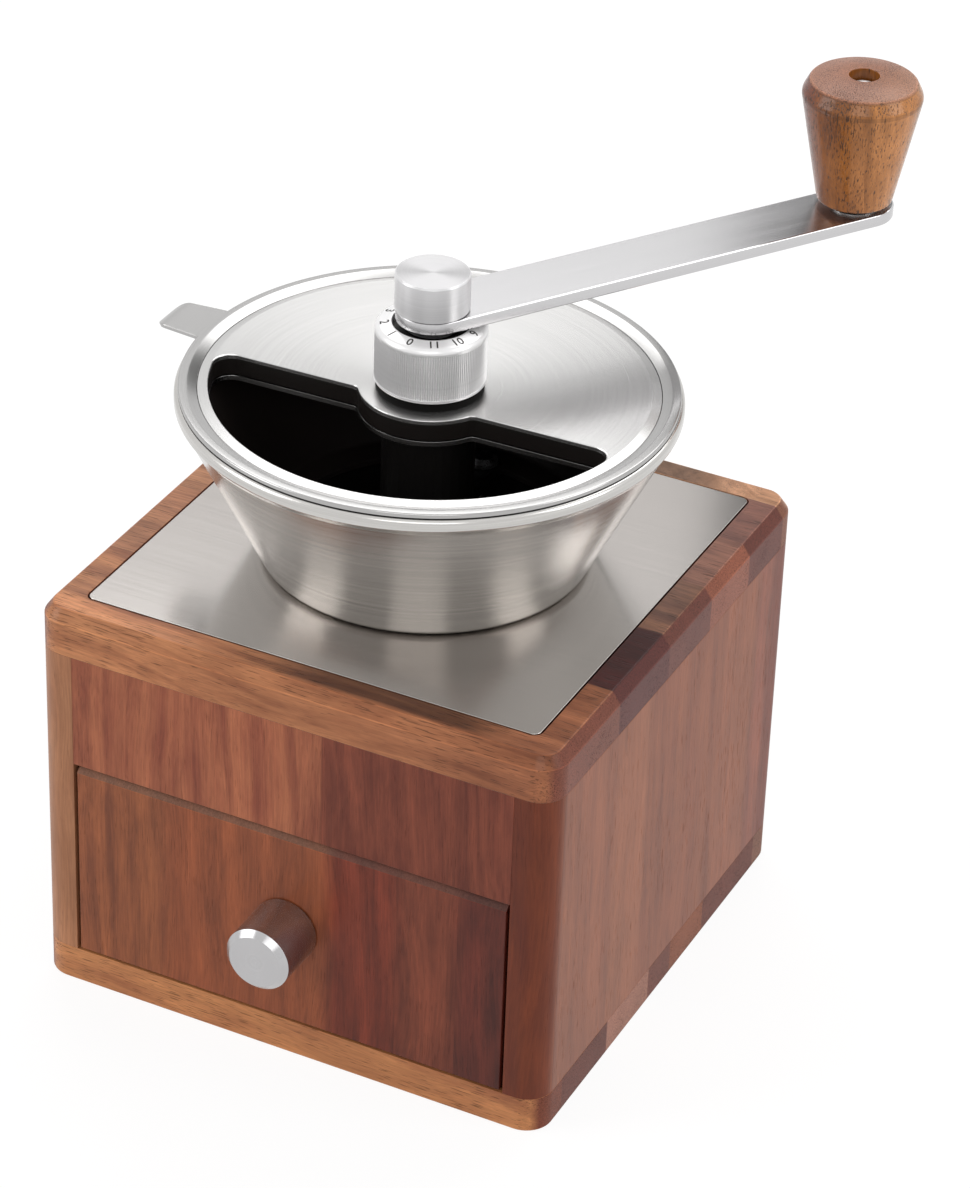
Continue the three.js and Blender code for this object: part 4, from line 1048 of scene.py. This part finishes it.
# Crank knob: turned from one block of acacia with the grain upright, lacquered a little glossier
# than the case, widest under its bevelled shoulder, with a recess for the screw.
knob_wood = acacia(
    "lacquered_acacia_knob", "Z", "X",
    [(-80, "7c3e26", "522618"), (60, "a4662f", "6c3c17"), (72, "bf804a", "865325", "ae7a5e")],
    gloss=0.2, seed=7.0, end_grain="a56f55", pores=1.4, sheen_level=0.4, soft=4.0,
)
RECESS_RADIUS = 3.8
CROWN_WIDTH = 9.2
CROWN_FOOT = 210.5
CROWN_RISE = 1.3
crown = [
    (RECESS_RADIUS + CROWN_WIDTH * share, CROWN_FOOT + CROWN_RISE * (1 - share ** 2))
    for share in (0.9, 0.75, 0.6, 0.45, 0.3, 0.15)
]
knob = piece("mill_crank_knob", turned([
    (2.3, 178.1), (9.5, 178.1, 0.7), (15.2, 206.9, 3.0), (13.4, 210.45, 1.6), *crown,
    (RECESS_RADIUS, CROWN_FOOT + CROWN_RISE, 0.3), (RECESS_RADIUS, 207.2), (2.3, 207.2),
], 128), 40)
knob.data.transform(knob_place)
fit(knob, knob_wood, "knob", "pale_wood", "crank_knob")


# Drawer: a front of oiled acacia, bevelled along its top and eased elsewhere, on a plain box of
# paler, thinner boards. Its turned steel pull is screwed on from inside.
front_half = 58.8
front_low = 10.4
front_high = 65.4
front_back = 59.0
bevel = 1.7
side_ease = 0.3
box_half = 57.5
box_wall = 6.0
box_back = 45.0
box_low = 10.1
box_high = 58.1
rings = []
for inset, top_inset, y in (
    (0.4, 0.4, -front_back), (0, 0, -59.4), (0, 0, -68.3),
    (0, bevel - side_ease, side_ease - case_half), (0.12, bevel - 0.1, 0.1 - case_half),
    (side_ease, bevel, -case_half),
):
    x = front_half - inset
    low = front_low + inset
    high = front_high - top_inset
    rings.append([(-x, y, low), (x, y, low), (x, y, high), (-x, y, high)])
drawer_wood = acacia(
    "oiled_acacia_drawer", "Z", "X",
    [(-80, "a05d3a", "74402a", "80604f"), (-34, "9f5736", "7a4129", "80604f"),
     (11, "833a27", "562317"), (30, "85442f", "59281b"), (46, "6e3023", "441b14", "5c3e36")],
    gloss=0.38, seed=5.0, end_grain="6a4a40", figure=1.1, pores=0.45, soft=2.5,
)
front = piece("mill_drawer_front", skin_over(rings), 0)
ease(front, 0.1, 2)
fit(front, drawer_wood, "drawer", "red_wood", "drawer_front")

side_wood = acacia(
    "plain_acacia_drawer_sides", "Y", "Z",
    [(-80, "b98a63", "8d6244", "8a664e")], gloss=0.5, seed=8.0,
)
cross_wood = acacia(
    "plain_acacia_drawer_back", "X", "Z",
    [(-80, "b48560", "8a5f42", "8a664e")], gloss=0.5, seed=9.0,
)
inner = box_half - box_wall
for node, low, high, wood, eased in (
    ("drawer_side_left", (-box_half, -front_back, box_low), (-inner, box_back, box_high), side_wood, 0.4),
    ("drawer_side_right", (inner, -front_back, box_low), (box_half, box_back, box_high), side_wood, 0.4),
    ("drawer_back", (-inner, box_back - box_wall, box_low), (inner, box_back, box_high), cross_wood, 0.4),
    ("drawer_floor", (-inner, -front_back, 12.3), (inner, box_back - box_wall, 15.3), cross_wood, 0.1),
):
    board = piece("mill_" + node, block(low, high), 0)
    ease(board, eased, 3)
    fit(board, wood, "drawer", "pale_wood", node)

PULL_HEIGHT = 37.9
PULL_BACK = 70.3
quarter_turn = math.pi / 2
pull_steel = turned_steel(
    "turned_steel_pull", "bab9ba", 0.22, 0.3, 0.03, 0.8, (0, 0, -PULL_HEIGHT), (quarter_turn, 0, 0),
)
pull = piece("mill_drawer_pull", turned([
    (0, 0), (8.5, 0, 0.1), (8.5, 14.0, 0.08), (7.0, 15.5, 0.08), (0.5, 15.42, 0.3), (0, 15.2),
], 160), 25)
pull_place = Matrix.Translation((0, -PULL_BACK / 1000, PULL_HEIGHT / 1000))
pull.data.transform(pull_place @ Matrix.Rotation(quarter_turn, 4, "X"))
fit(pull, pull_steel, "drawer", "turned_steel", "drawer_pull")
